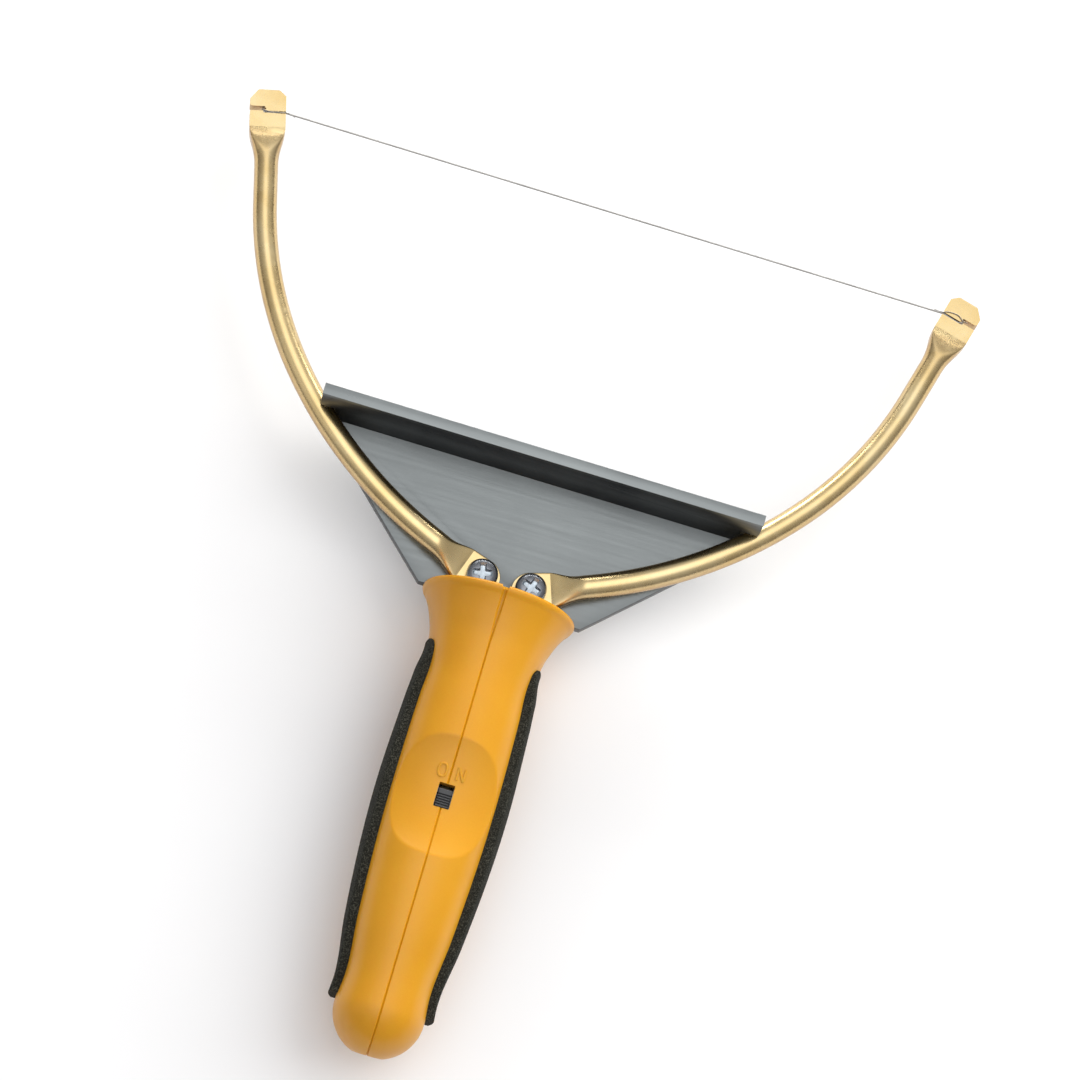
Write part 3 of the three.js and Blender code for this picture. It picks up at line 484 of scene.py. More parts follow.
def brass_material():
    n = Nodes("satin_brass")
    drawn = n.noise(520, 4, 0.6)
    cloud = n.noise(70, 5, 0.6, distortion=0.6)
    pit = n.cells(420)
    fine = n.noise(2600, 3)
    colour = n.ramp(cloud, (0.28, (0.80, 0.585, 0.26)), (0.5, (0.88, 0.675, 0.34)),
                    (0.74, (0.95, 0.785, 0.46)))
    tarnish = n.span(pit, 1.0, 0.0, 0.0, 0.09)
    colour = n.mix(n.math("MULTIPLY", tarnish, 0.3), colour, (0.40, 0.23, 0.09))
    # painted shade: the sides, and the necks below the heads, are darkened towards brown, so the top and back
    # read lighter
    shade_brown = n.mix(n.span(n.noise(900, 3, 0.6, n.stretched((1.0, 0.12, 1.0))), 0, 1, 0.3, 0.7),
                  (0.40, 0.24, 0.12), (0.60, 0.42, 0.21))
    along = n.part(n.coord, "Y")
    # painted shade on the necks below the heads
    neck_shade = n.math("MULTIPLY", n.span(along, 0, 1, 0.052, 0.066), n.span(along, 1, 0, 0.0668, 0.0676))
    colour = n.mix(n.math("MULTIPLY", neck_shade, 0.4), colour, shade_brown)
    # painted shade on the sides: the less a face turns up or down, the browner it is
    level = n.math("ABSOLUTE", n.part(n.facing(), "Z"))
    colour = n.mix(n.span(level, 0.85, 0, 0.15, 0.92), colour, n.mix(0.4, shade_brown, (0.30, 0.165, 0.08)))
    n.set(Base_Color=colour, Metallic=1.0)
    n.set(Roughness=n.span(n.sum(drawn, 0.5, cloud, 0.5), 0.23, 0.32, 0.35, 0.65))
    n.set(Normal=n.bump(drawn, 0.05, 0.04, n.bump(fine, 0.06, 0.02, n.bump(pit, 0.04, 0.06))))
    return n.mat


def steel_material(name, tone, roughness):
    n = Nodes(name)
    cloud = n.noise(180, 4, 0.6)
    brush = n.noise(1600, 3, 0.6, n.stretched((1.0, 1.0, 0.1)))
    darker = tuple(c * 0.72 for c in tone)
    colour = n.mix(n.span(cloud, 0, 1, 0.3, 0.7), darker, tone)
    n.set(Base_Color=colour, Metallic=1.0)
    n.set(Roughness=n.span(brush, roughness - 0.06, roughness + 0.12, 0.3, 0.7))
    n.set(Normal=n.bump(brush, 0.10, 0.03, n.bump(cloud, 0.05, 0.05)))
    return n.mat


# dark, middle and light tone, and roughness, of each plain plastic
MOULDED = {
    "dark_plastic": ((0.020, 0.021, 0.023), (0.032, 0.033, 0.035), (0.045, 0.046, 0.048), 0.30),
    "phenolic": ((0.16, 0.075, 0.030), (0.22, 0.11, 0.045), (0.29, 0.16, 0.07), 0.55),
    "white_nylon": ((0.62, 0.60, 0.53), (0.70, 0.68, 0.61), (0.78, 0.76, 0.70), 0.5),
    "red_sleeve": ((0.34, 0.014, 0.010), (0.44, 0.022, 0.015), (0.52, 0.04, 0.03), 0.38),
    "black_sleeve": ((0.010, 0.010, 0.011), (0.018, 0.018, 0.019), (0.03, 0.03, 0.03), 0.38),
}
SPECIAL = {"phenolic": {"mottle": 200}, "white_nylon": {"subsurface": 0.2}}
MATERIALS = {
    "amber_plastic": amber_material(),
    "black_foam": foam_material(),
    "black_guide": guide_material(),
    "satin_brass": brass_material(),
    "zinc_steel": steel_material("zinc_steel", (0.30, 0.315, 0.34), 0.24),
    "resistance_wire": steel_material("resistance_wire", (0.48, 0.465, 0.44), 0.32),
    **{name: moulded(name, *look, **SPECIAL.get(name, {})) for name, look in MOULDED.items()},
}
# the cross recess is painted as a lighter, bluer copy of the zinc: a painted highlight
RECESS_PAINTED_HIGHLIGHT = steel_material("recess_zinc_painted_highlight", (0.80, 0.90, 0.97), 0.45)
SLOT_OF = {part["node"]: part["material_slot"] for part in frame["record"]["subparts"]}


def dress(obj, slot, node=None, body=ROOT):
    """Gives a piece its material and body, and the CAD node it stands for."""
    obj.data.materials.clear()
    obj.data.materials.append(MATERIALS[slot])
    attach(obj, body)
    if node:
        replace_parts(obj, node)


# -------- handle outline

FINE_Y = np.arange(BULB[0] - DOME_LENGTH, 0.001, 0.05)


def body_profile():
    """Half width and half depth along FINE_Y, smooth where the flare meets the grip."""
    knots = np.array([(0, RIM_W, RIM_D), *TURNS, (BULB[0], BULB[1], BULB[2])])[::-1]
    out = []
    for column, rim, neck in ((1, RIM_W, TURNS[0][1]), (2, RIM_D, TURNS[0][2])):
        y, v = knots[:-1, 0], knots[:-1, column]
        slope = np.gradient(v, y)
        slope[0] = 0
        i = np.clip(np.searchsorted(y, FINE_Y) - 1, 0, len(y) - 2)
        h = y[i + 1] - y[i]
        t = np.clip((FINE_Y - y[i]) / h, 0, 1)
        grip = ((2 * t**3 - 3 * t**2 + 1) * v[i] + (t**3 - 2 * t**2 + t) * h * slope[i]
                + (3 * t**2 - 2 * t**3) * v[i + 1] + (t**3 - t**2) * h * slope[i + 1])
        flare = lerp(neck, rim, np.clip(1 - FINE_Y / NECK_Y, 0, 1) ** FLARE_POWER)
        value = np.where(FINE_Y > NECK_Y, flare, grip)
        kernel = np.exp(-0.5 * (np.arange(-90, 91) / 30) ** 2)
        blurred = np.convolve(np.pad(value, 90, mode="edge"), kernel / kernel.sum(), mode="valid")
        near = smooth(-30, -20, FINE_Y) * (1 - smooth(-9, -5, FINE_Y))
        value = lerp(value, blurred, near)
        dome = np.sqrt(np.clip(1 - ((BULB[0] - FINE_Y) / DOME_LENGTH) ** 2, 0, 1))
        out.append(np.where(FINE_Y < BULB[0], v[0] * dome, value))
    return out


BODY_W, BODY_D = body_profile()


def body_at(y):
    return np.interp(y, FINE_Y, BODY_W), np.interp(y, FINE_Y, BODY_D)


def dish_height(x, y, extra=0):
    wheel = DISH["radius"] + extra + DISH["crown"] * x * x
    return DISH["floor"] + DISH["radius"] - np.sqrt(np.maximum(wheel**2 - (y - SWITCH_Y) ** 2, 1))


def skin_half(y, z, offset):
    """Half width of the body's skin at a height, moved out by an offset."""
    w, d = body_at(y)
    return (w + offset) * np.clip(1 - np.abs(z / (d + offset)) ** SQUARENESS, 0, 1) ** (1 / SQUARENESS)


def foam_edges(y):
    """Heights of the foam strip's upper and lower edges along the handle."""
    heights = []
    for rear in FOAM_REAR_HEIGHTS:
        curve = through([(*p, 0) for p in (*FOAM_HEIGHTS, (FOAM["rear"], rear))], 240)[::-1]
        heights.append(np.interp(y, curve[:, 0], curve[:, 1]))
    return heights[0], -heights[1]


def foam_inside(y, z, rear_scale=1.0):
    """How far a point seen from the side lies inside the foam strip's outline, round corners and all."""
    top, bottom = foam_edges(y)
    corner = FOAM["corner"]
    to_edge = np.minimum(top - z, z - bottom)
    ahead, beyond = y - (FOAM["front"] - corner), corner - to_edge
    rounded = corner - np.hypot(np.maximum(ahead, 0), np.maximum(beyond, 0))
    inside = np.where((ahead > 0) & (beyond > 0), rounded, np.minimum(FOAM["front"] - y, to_edge))
    return np.minimum(inside, (y - FOAM["rear"]) * rear_scale)


# -------- handle shells

# rows of the mesh over the dome and round the lip; columns beside each seam, in mm from it, and between
DOME_ROWS, LIP_ROWS = 34, 8
SEAM_COLUMNS = np.array([0, 0.05, 0.12, 0.2, 0.3, 0.45, 0.65, 0.95, 1.4])
ROUND_COLUMNS = 105
SHELL_SHARP = 38


def shell_rows():
    """Stations round the shell's own section: from the butt forwards outside, over the lip and back inside.
    Each is half width, half depth, y, and 1 if it is outside skin."""
    end = BULB[0] - DOME_LENGTH
    outer = [(*body_at(y), y, 1) for y in end + DOME_LENGTH * (1 - np.cos(np.linspace(0.06, 1.5, DOME_ROWS)))]
    ys = np.concatenate([np.arange(-109.6, -82, 0.9), np.arange(-82, -29, 0.36), np.arange(-29, -0.6, 0.45)])
    outer += [(*body_at(y), y, 1) for y in ys]
    lip = []
    for a in np.linspace(0, math.pi / 2, LIP_ROWS):
        back = 0.12 + LIP_DEPTH * (1 - math.cos(a))
        lip.append((RIM_W - back, RIM_D - back, LIP_DEPTH * math.sin(a), 1))
    lip[-1] = (RIM_W - 1.2, RIM_D - 1.2, LIP_DEPTH, 0)
    outer += lip
    inner = [(w - WALL, d - WALL, y, 0) for w, d, y, _ in reversed(outer[DOME_ROWS:-LIP_ROWS])]
    inner.insert(0, (RIM_W - WALL, RIM_D - WALL, LIP_DEPTH, 0))
    inner.insert(1, (RIM_W - WALL - 0.1, RIM_D - WALL - 0.1, LIP_DEPTH - 0.4, 0))
    # as many rows inside as outside, so that the two grids join row by row
    for a in np.linspace(0.08, 1.5, len(outer) - len(inner)):
        y = BULB[0] - (DOME_LENGTH - WALL) * math.sin(a)
        inner.append(((BULB[1] - WALL) * math.cos(a), (BULB[2] - WALL) * math.cos(a), y, 0))
    return np.array(outer), np.array(inner)


def shell_points(stations):
    """Grid of points over one half, from the top seam round to the bottom seam."""
    w, d, y = stations[:, 0][:, None], stations[:, 1][:, None], stations[:, 2][:, None]
    small = np.clip(w / 3.0, 0.02, 1)
    top = np.arcsin(np.clip(1 - (SEAM_COLUMNS * small / w) ** SQUARENESS, 0, 1) ** 0.5)
    last = top[:, -1:]
    middle = lerp(last, -last, np.linspace(0, 1, ROUND_COLUMNS)[1:-1][None, :])
    angle = np.concatenate([top, middle, -top[:, ::-1]], 1)
    x = w * np.abs(np.cos(angle)) ** (2 / SQUARENESS)
    z = d * signed_power(np.sin(angle), 2 / SQUARENESS)
    x = SEAM_GAP + x * (1 - SEAM_GAP / np.maximum(w, 1))
    return np.stack([x, y + 0 * x, z], -1)


def shell_half(side):
    outer, inner = shell_rows()
    p = shell_points(outer)
    q = shell_points(inner)
    # the thumb dish, pressed into the skin and the wall under it
    x, y, z = q[..., 0], q[..., 1], q[..., 2]
    z[:] = np.where(z > 0, np.minimum(z, dish_height(x, y, WALL)), z)
    x, y, z = p[..., 0], p[..., 1], p[..., 2]
    cut = smooth(DISH["front"], DISH["front"] - 2, y) * smooth(DISH["rear"], DISH["rear"] + 2, y)
    z[:] = np.where((z > 3) & (cut > 0), soft_min(z, dish_height(x, y), 0.14), z)
    # the parting line: a fine groove, opening into a wider one and a notch towards the rim
    skin = outer[:, 3][:, None] > 0
    normal = np.cross(np.gradient(p, axis=1), np.gradient(p, axis=0))
    normal /= np.maximum(np.linalg.norm(normal, axis=2), 1e-9)[..., None]
    centre = np.zeros_like(p)
    centre[..., 1] = p[..., 1]
    flip = np.sign(((p - centre) * normal).sum(-1))[..., None]
    normal *= np.where(flip == 0, 1, flip)
    open_up = smooth(-16, -2, y)
    half = lerp(0.28, 0.66, open_up)
    depth = lerp(0.34, 0.55, open_up)
    flat = 0.45 * open_up
    groove = depth * np.clip((half - (x - SEAM_GAP)) / np.maximum(half * (1 - flat), 0.05), 0, 1)
    p -= normal * (groove * skin)[..., None]
    notch = np.clip(1 - (x - SEAM_GAP - 0.65) / 0.3, 0, 1) * (z > 0)
    y[:] = np.minimum(y, lerp(9, -0.45, notch))
    # a bead runs round the rim: behind it the flare lies lower
    p -= normal * (0.2 * (1 - smooth(-1.6, -0.9, y)) * smooth(-9, -2, y) * skin)[..., None]
    # under the foam the skin is let in
    recess = FOAM["let_in"] * 0.9 * smooth(0.6, 1.3, foam_inside(y, z)) * skin
    p -= normal * recess[..., None]
    loop = np.concatenate([p, q])
    loop[..., 0] *= side
    total, cols = loop.shape[:2]
    faces = grid_faces(total, cols, wrap_rows=True)
    # the seam's two flats, between the outside and the inside
    for c in (0, cols - 1):
        for r in range(total // 2 - 1):
            faces.append([at * cols + c for at in (r, r + 1, total - 2 - r, total - 1 - r)])
    return make(f"shell_{LABELS[side]}", loop.reshape(-1, 3), faces, SHELL_SHARP)


def rounded_rect(w, l, r):
    """Outline with quarter-circle corners, six points to each."""
    out = []
    for cx, cy, a0 in ((1, 1, 0), (-1, 1, 90), (-1, -1, 180), (1, -1, 270)):
        for a in np.radians(np.linspace(a0, a0 + 90, 6)):
            out.append((cx * (w / 2 - r) + r * math.cos(a), cy * (l / 2 - r) + r * math.sin(a)))
    return out


def leaned(points):
    """From the socket's own axes, with y inwards from its face, to the handle's."""
    c, s = math.cos(SOCKET["lean"]), math.sin(SOCKET["lean"])
    x, y, z = np.asarray(points, float).T
    return np.stack([x, SOCKET["y"] + c * y - s * z, SOCKET["z"] + s * y + c * z], -1)


def box_mesh(name, x, y, z):
    return prism(name, [(x[0], y[0]), (x[1], y[0]), (x[1], y[1]), (x[0], y[1])], "z", *z)


def core_half(side, offset):
    """The solid inside one half's skin, used to trim what stands inside it."""
    outer = shell_rows()[0][:, :3]
    stations = outer[(outer[:, 2] > BULB[0] - DOME_LENGTH + 0.8) & (outer[:, 2] < -0.5)][::3].copy()
    stations[:, :2] += offset
    points = shell_points(stations)
    x, y, z = points[..., 0], points[..., 1], points[..., 2]
    points[..., 2] = np.where(z > 3, np.minimum(z, dish_height(x, y, -offset)), z)
    points[..., 0] *= side
    rows, cols = points.shape[:2]
    faces = grid_faces(rows, cols) + [list(range(cols)), list(range((rows - 1) * cols, rows * cols))]
    faces += [[r * cols, (r + 1) * cols, (r + 2) * cols - 1, (r + 1) * cols - 1] for r in range(rows - 1)]
    return make("core", points.reshape(-1, 3), faces)


def inner_supports(side):
    """Bulkhead, switch ribs, jack collars and screw bosses of one half, trimmed inside its skin."""
    far = 30

    def outwards(start):
        return (start, far) if side > 0 else (-far, -start)

    wide = outwards(0.05)
    rib = SWITCH_RIB
    pieces = [box_mesh("bulkhead", wide, BULKHEAD, (-far, far))]

    def stand(name, x, y, bottom):
        pieces.append(box_mesh(name, x, (y - rib["half"], y + rib["half"]), (bottom, far)))

    for y in (SWITCH_Y - rib["offset"], SWITCH_Y + rib["offset"]):
        stand("rib", outwards(rib["inner"]), y, rib["bottom"])
    for y in JACK_COLLARS:
        stand("collar", wide, y, -far)
    for y in SHELL_SCREWS:
        boss = SHELL_SCREW["boss"]
        profile = [(0, wide[0]), (boss, wide[0]), (boss, wide[1]), (0, wide[1])]
        pieces.append(lathe("boss", profile, 40, "x", (0, y, SHELL_SCREW["z"])))
    supports = boolean(pieces[0], pieces[1:], "UNION")
    return boolean(supports, [core_half(side, -WALL / 2)], "INTERSECT")


def support_openings():
    """Cuts for the terminal bars and the shell screws."""
    opening = BAR_OPENING
    tools = [box_mesh("bars", (-opening["half"], opening["half"]), (BULKHEAD[0] - 1, BULKHEAD[1] + 1),
                      (opening["low"], opening["high"]))]
    for y in SHELL_SCREWS:
        seat = body_at(y)[0] - FOAM["let_in"] - SHELL_SCREW["depth"]
        pilot, head = SHELL_SCREW["pilot"], SHELL_SCREW["head"]
        profile = [(0, seat - SHELL_SCREW["length"]), (pilot, seat - SHELL_SCREW["length"]), (pilot, seat),
                   (head, seat), (head, seat + 9), (0, seat + 9)]
        tools.append(lathe("pilot", profile, 32, "x", (0, y, SHELL_SCREW["z"])))
    return tools


def build_shells():
    for side, label in LABELS.items():
        shell = boolean(shell_half(side), [inner_supports(side)], "UNION", SHELL_SHARP)
        slot_outline = [(u, v + SWITCH_Y) for u, v in rounded_rect(*SLOT, 0.25)]
        slot_tool = prism("slot_tool", slot_outline, "z", 5, 20)
        # the butt is cut flat across the socket's face, then bored for the plug and the jack behind it
        beyond = prism("beyond", [(-40, -40), (40, -40), (40, 40), (-40, 40)], "y", -30, 0)
        move_points(beyond, leaned)
        hole, lead_in, skin, bore = SOCKET["hole"], 0.45, 2.6, 4.7
        profile = [(0, -2), (hole + lead_in, -2), (hole + lead_in, 0), (hole, lead_in), (hole, skin),
                   (bore, skin), (bore, 14), (0, 14)]
        tools = [slot_tool, beyond, lathe("hole_tool", profile, 64, "y", move=leaned)]
        boolean(shell, tools + support_openings(), sharp_deg=SHELL_SHARP)
        dress(shell, "amber_plastic", f"handle_shell_{label}")


build_shells()


# -------- foam

def foam_strip(side):
    front, rear, corner = FOAM["front"], FOAM["rear"], FOAM["corner"]
    edge, rear_edge = FOAM["edge"], FOAM["rear_edge"]
    quarter = np.linspace(0, math.pi / 2, 7)
    u = np.concatenate([rear + rear_edge * (1 - np.cos(quarter)),
                        np.arange(rear + edge + 0.8, front - corner - 0.3, 0.8),
                        front - corner * (1 - np.sin(np.linspace(0, math.pi / 2, 22)))])
    rim = 0.055
    share = np.concatenate([rim * (1 - np.cos(quarter)), np.linspace(rim, 1 - rim, 24)[1:-1],
                            1 - rim * (1 - np.cos(quarter[::-1]))])
    pull = corner - np.sqrt(np.clip(corner**2 - np.maximum(u - (front - corner), 0) ** 2, 0, None))
    top, bottom = foam_edges(u)
    z = lerp((bottom + pull)[:, None], (top - pull)[:, None], share[None, :])
    y = u[:, None] + 0 * z
    inside = np.clip(foam_inside(y, z, edge / rear_edge), 0, edge)
    drop = edge - np.sqrt(np.clip(edge**2 - (edge - inside) ** 2, 0, None))
    proud = lerp(FOAM["proud"], FOAM["front_proud"], smooth(front - FOAM["taper"], front, y))
    drop = drop * np.clip(proud / 1.4, 0.4, 1) * lerp(rear_edge / edge, 1, smooth(rear, rear + 1.5, y))
    offsets = (proud - drop, -FOAM["let_in"])
    points = np.stack([[side * skin_half(y, z, offset), y, z] for offset in offsets])
    points = np.moveaxis(points, 1, -1).reshape(-1, 3)
    rows, cols = z.shape
    faces = grid_faces(rows, cols) + grid_faces(rows, cols, start=rows * cols)
    grid = np.arange(rows * cols).reshape(rows, cols)
    ring = np.concatenate([grid[0], grid[1:, -1], grid[-1, -2::-1], grid[-2:0:-1, 0]]).tolist()
    for a, b in zip(ring, ring[1:] + ring[:1]):
        faces.append([a, b, b + rows * cols, a + rows * cols])
    strip = make(f"foam_strip_{LABELS[side]}", points, faces, 50)
    dress(strip, "black_foam", f"foam_grip_{LABELS[side]}")


foam_strip(1)
foam_strip(-1)


# -------- bow arms

def unit(angle):
    return np.array((math.cos(angle), math.sin(angle)))


def left_of(angle):
    return np.array((-math.sin(angle), math.cos(angle)))


def arm_path(step=0.1):
    """The right arm's centreline from its clamp screw to its tip, evenly spaced: points and headings."""
    at = np.array(CLAMP, float)
    heading = math.radians(TAB["heading"])
    points, headings = [], []

    def straight(length):
        nonlocal at
        for s in np.arange(0, length, step):
            points.append(at + s * unit(heading))
            headings.append(heading)
        at = at + length * unit(heading)

    straight(TAB["straight"])
    for radius, turn_to in BENDS:
        turn_to = math.radians(turn_to)
        centre = at + radius * left_of(heading)
        for a in np.arange(heading, turn_to, step / radius):
            points.append(centre - radius * left_of(a))
            headings.append(a)
        heading = turn_to
        at = centre - radius * left_of(heading)
    straight(HEAD["straight"])
    points.append(at)
    headings.append(heading)
    return np.array(points), np.array(headings)


ARM_POINTS, ARM_HEADINGS = arm_path()
ARM_S = np.concatenate([[0], np.cumsum(np.linalg.norm(np.diff(ARM_POINTS, axis=0), axis=1))])
ARM_LENGTH = ARM_S[-1]


def on_arm(s):
    p = np.stack([np.interp(s, ARM_S, ARM_POINTS[:, k]) for k in (0, 1)], -1)
    h = np.interp(s, ARM_S, ARM_HEADINGS)
    beyond = np.minimum(s, 0)[:, None] * unit(ARM_HEADINGS[0])
    return p + beyond, np.stack([np.cos(h), np.sin(h)], -1)


def head_point(from_tip, outward, z=None):
    """A place on the right head: how far back from its tip and how far out from its centreline."""
    p, t = on_arm(np.array([ARM_LENGTH - from_tip]))
    out = p[0] + outward * np.array((t[0][1], -t[0][0]))
    return out if z is None else np.array([out[0], out[1], z])


def arm_stations():
    """Places along the arm for its sections, closest where the shape changes fastest."""
    tab_end = -TAB["half"] * np.cos(np.linspace(0.03, math.pi / 2, 20))
    neck, crease, pad = ARM_LENGTH - 26, ARM_LENGTH - 12, ARM_LENGTH - 10.4
    # from, to and step: tab, crease, neck and rod, then the head's neck and crease
    stretches = ((0.3, 4.9, 0.4), (4.9, 6.4, 0.12), (6.4, 22, 0.35), (22, neck, 0.8), (neck, crease, 0.35),
                 (crease, pad, 0.1))
    pad_to_clips = np.linspace(pad, ARM_LENGTH - 3.2, 12)
    clips = ARM_LENGTH - np.array([2.9, 2.4, 1.9, 1.2, 0.6, TIP_CHAMFER, 0])
    return np.concatenate([tab_end, *[np.arange(*stretch) for stretch in stretches], pad_to_clips, clips])


def arm_sections(s, sides=72):
    """Points across and up for each station: an oval pressed flat by two dies at the tab and at the head."""
    from_tip = ARM_LENGTH - s
    tab = 1 - smooth(4.9, 14.5, s)
    head = 1 - smooth(HEAD["flat"] - 0.4, HEAD["flat"] + 11, from_tip)
    blend = np.maximum(tab, head)
    is_head = from_tip < ARM_LENGTH / 2
    pad_half = np.where(is_head, HEAD["half"], TAB["half"])
    half = lerp(ROD_R, pad_half, np.where(is_head, blend**1.35, blend**1.7))
    half = np.where(s < 0, np.sqrt(np.maximum(TAB["half"] ** 2 - s**2, 0.0004)), half)
    outer, inner = [half - across * np.clip(1 - from_tip / along, 0, 1) for across, along in
                    (CLIPS["outer"], CLIPS["inner"])]
    power = lerp(2.0, np.where(is_head, 9, 6), blend**2.6)
    centre = np.where(is_head, ROD_Z, lerp(ROD_Z, 1.5, smooth(15, 4.6, s)))
    thick = np.where(is_head, ROD_R, lerp(ROD_R, 2.1, tab))
    # the dies: level over the pad, then curving away from it
    past_head = np.maximum(from_tip - HEAD["flat"], 0)
    past_tab = np.maximum(s - TAB["flat"], 0)
    reach = HEAD["t"] / 2 + 0.235 * past_head + 0.012 * past_head**2
    top = np.where(is_head, ROD_Z + reach, TAB["t"] + 0.44 * past_tab + 0.016 * past_tab**2)
    bottom = np.where(is_head, ROD_Z - reach, -0.3 * np.maximum(s - 9, 0))
    at_tip = np.maximum(TIP_CHAMFER - from_tip, 0)
    top, bottom = top - at_tip, bottom + at_tip
    angle = np.linspace(0, 2 * math.pi, sides, endpoint=False)[None, :]
    p = (2 / power)[:, None]
    across = np.where(np.cos(angle) > 0, outer[:, None], inner[:, None]) * signed_power(np.cos(angle), p)
    up = centre[:, None] + thick[:, None] * signed_power(np.sin(angle), p)
    on_slope = np.where(is_head, smooth(11, 15, from_tip), smooth(5.3, 10, s))
    soft = lerp(0.45, 0.9, on_slope)[:, None]
    up = soft_min(up, top[:, None], soft)
    up = -soft_min(-up, -bottom[:, None], soft)
    return across, up


def arm_mesh(side):
    s = arm_stations()
    across, up = arm_sections(s)
    p, t = on_arm(s)
    x = p[:, 0][:, None] + t[:, 1][:, None] * across
    y = p[:, 1][:, None] - t[:, 0][:, None] * across
    points = np.stack([side * x, y, up], -1)
    rows, cols = up.shape
    faces = grid_faces(rows, cols, wrap_cols=True)
    faces += [list(range(cols)), list(range((rows - 1) * cols, rows * cols))]
    arm = make(f"bow_rod_{LABELS[side]}", points.reshape(-1, 3), faces, ARM_SHARP)

    def cutter(outline, low):
        """A cut down to `low` whose outline is pairs of from_tip and outward."""
        outline = [head_point(*pair) for pair in outline]
        return prism("tool", [(side * a, b) for a, b in outline], "z", low, 9)

    def strip(back, front, start, end):
        return [(back, start), (back, end), (front, end), (front, start)]

    half, notch = HEAD["half"], 0.65
    mouth = [(notch, SLOT_END), (notch, half - 0.5), (0.75, half - 0.12), (1.2, half + 0.3),
             (-1.2, half + 0.3), (-0.9, half - 0.2), (-notch, half - 0.7), (-notch, SLOT_END)]
    over, hole = TAB["t"] + 3, 2.3
    tools = [
        cutter([(SLOT_AT + back, outward) for back, outward in mouth], 0),
        cutter(strip(GROOVE_AT + 0.22, SLOT_AT - 0.2, SLOT_END - 0.25, SLOT_END + 0.5), HEAD_TOP - 1.0),
        cutter(strip(GROOVE_AT + 0.3, GROOVE_AT - 0.3, -half - 2, SLOT_END + 0.3), HEAD_TOP - 0.75),
        lathe("hole", [(0, -1), (hole, -1), (hole, over), (0, over)], 48, at=(side * CLAMP[0], CLAMP[1], 0)),
    ]
    boolean(arm, tools, sharp_deg=ARM_SHARP)
    dress(arm, "satin_brass", f"bow_arm_{LABELS[side]}")


arm_mesh(1)
arm_mesh(-1)


# -------- cutting wire

def head_path(*places):
    return [head_point(*place) for place in places]


def build_wire():
    """The wire lies in both grooves, dives through the slots' inner ends and comes back under the heads."""
    half = HEAD["half"]
    z = HEAD_TOP - 0.42
    below = ROD_Z - HEAD["t"] / 2 - WIRE_R
    entry = head_point(GROOVE_AT, -half, z)
    right = [entry + (-1.2, 0, 0), entry, *head_path(
        (GROOVE_AT, 1.2 - half, z), (GROOVE_AT, SLOT_END - 0.5, z), (SLOT_AT + 0.3, SLOT_END + 0.25, z - 0.1),
        (SLOT_AT + 0.1, SLOT_END + 0.5, z - 0.9), (SLOT_AT + 0.1, SLOT_END + 0.5, below + 0.9),
        (SLOT_AT + 0.3, SLOT_END + 0.2, below), (GROOVE_AT, SLOT_END - 1.2, below),
        (GROOVE_AT, 1.0 - half, below))]
    left = [p * (-1, 1, 1) for p in right]
    run = np.linspace(left[0], right[0], 60)[1:-1]
    path = np.vstack([through(left[::-1], 120), run, through(right, 120)])
    dress(tube("wire", path, WIRE_R, 14), "resistance_wire", "cutting_wire")
    # each loose tail comes up out of the slot, crosses the head and ends beside the run
    over = HEAD_TOP + 0.2
    tails = {
        1: [*head_path((SLOT_AT - 0.1, SLOT_END + 1.6, HEAD_TOP - 0.1), (SLOT_AT + 0.1, SLOT_END + 0.2, over),
                       (SLOT_AT - 0.6, -0.8, over + 0.02), (SLOT_AT - 0.3, -2.9, over),
                       (GROOVE_AT - 0.7, -4.1, over), (GROOVE_AT - 0.2, -half + 0.2, over - 0.05),
                       (GROOVE_AT - 0.05, -half - 0.6, HEAD_TOP - 0.2)), entry + (-2.4, 0.42, 0.05)],
        -1: [*head_path((SLOT_AT, SLOT_END + 0.9, HEAD_TOP - 0.5), (SLOT_AT + 0.3, SLOT_END + 0.5, over),
                        (GROOVE_AT - 0.1, SLOT_END - 0.8, over), (GROOVE_AT + 0.15, -half + 0.4, over),
                        (GROOVE_AT + 0.15, -half - 0.7, HEAD_TOP - 0.2)), entry + (-2.6, -0.42, 0.05)],
    }
    for side, tail in tails.items():
        path = through([p * (side, 1, 1) for p in tail], 90)
        dress(tube(f"wire_tail_{LABELS[side]}", path, TAIL_R, 10), "resistance_wire")


build_wire()


# -------- guide

def build_guide():
    """The guide keeps its CAD outline; its flats are made whole and its edges rounded over."""
    obj = place("guide", frame["nodes"]["guide_plate"].data.copy())
    bm = bmesh.new()
    bm.from_mesh(obj.data)
    bmesh.ops.remove_doubles(bm, verts=bm.verts, dist=1e-6)
    bmesh.ops.dissolve_limit(bm, angle_limit=math.radians(1), verts=bm.verts, edges=bm.edges)
    bm.to_mesh(obj.data)
    bm.free()
    round_edges(obj, 0.22)
    dress(obj, "black_guide", "guide_plate")


build_guide()


# -------- clamp screws and knob

# height of the head, thread, and each cross's turn in radians
SCREW = {"head": 2.6, "pitch": 0.7, "crest": 1.97, "root": 1.62, "turned": {1: -0.35, -1: 0.2}}
CROSS = {"reach": 3.05, "width": 1.95, "depth": 1.2}
KNOB = {"length": 4.9, "half_width": 1.7, "base": 8.7, "first": 0.42, "pitch": 0.66, "groove": 0.5}
KNOB_FOOT = {"half_width": 3, "heights": (8.2, 9.3)}


def cross_outline(reach, width):
    """A cross with bulging ends and filleted inner corners."""
    h, fillet = width / 2, 0.35 * reach
    quarter = [(reach, -h), (reach + 0.12, 0), (reach, h), (h + fillet * 0.5, h),
               (h + fillet * 0.12, h + fillet * 0.12), (h, h + fillet * 0.5)]
    turns = ((1, 0), (0, 1), (-1, 0), (0, -1))
    return [(c * u - s * v, s * u + c * v) for c, s in turns for u, v in quarter]


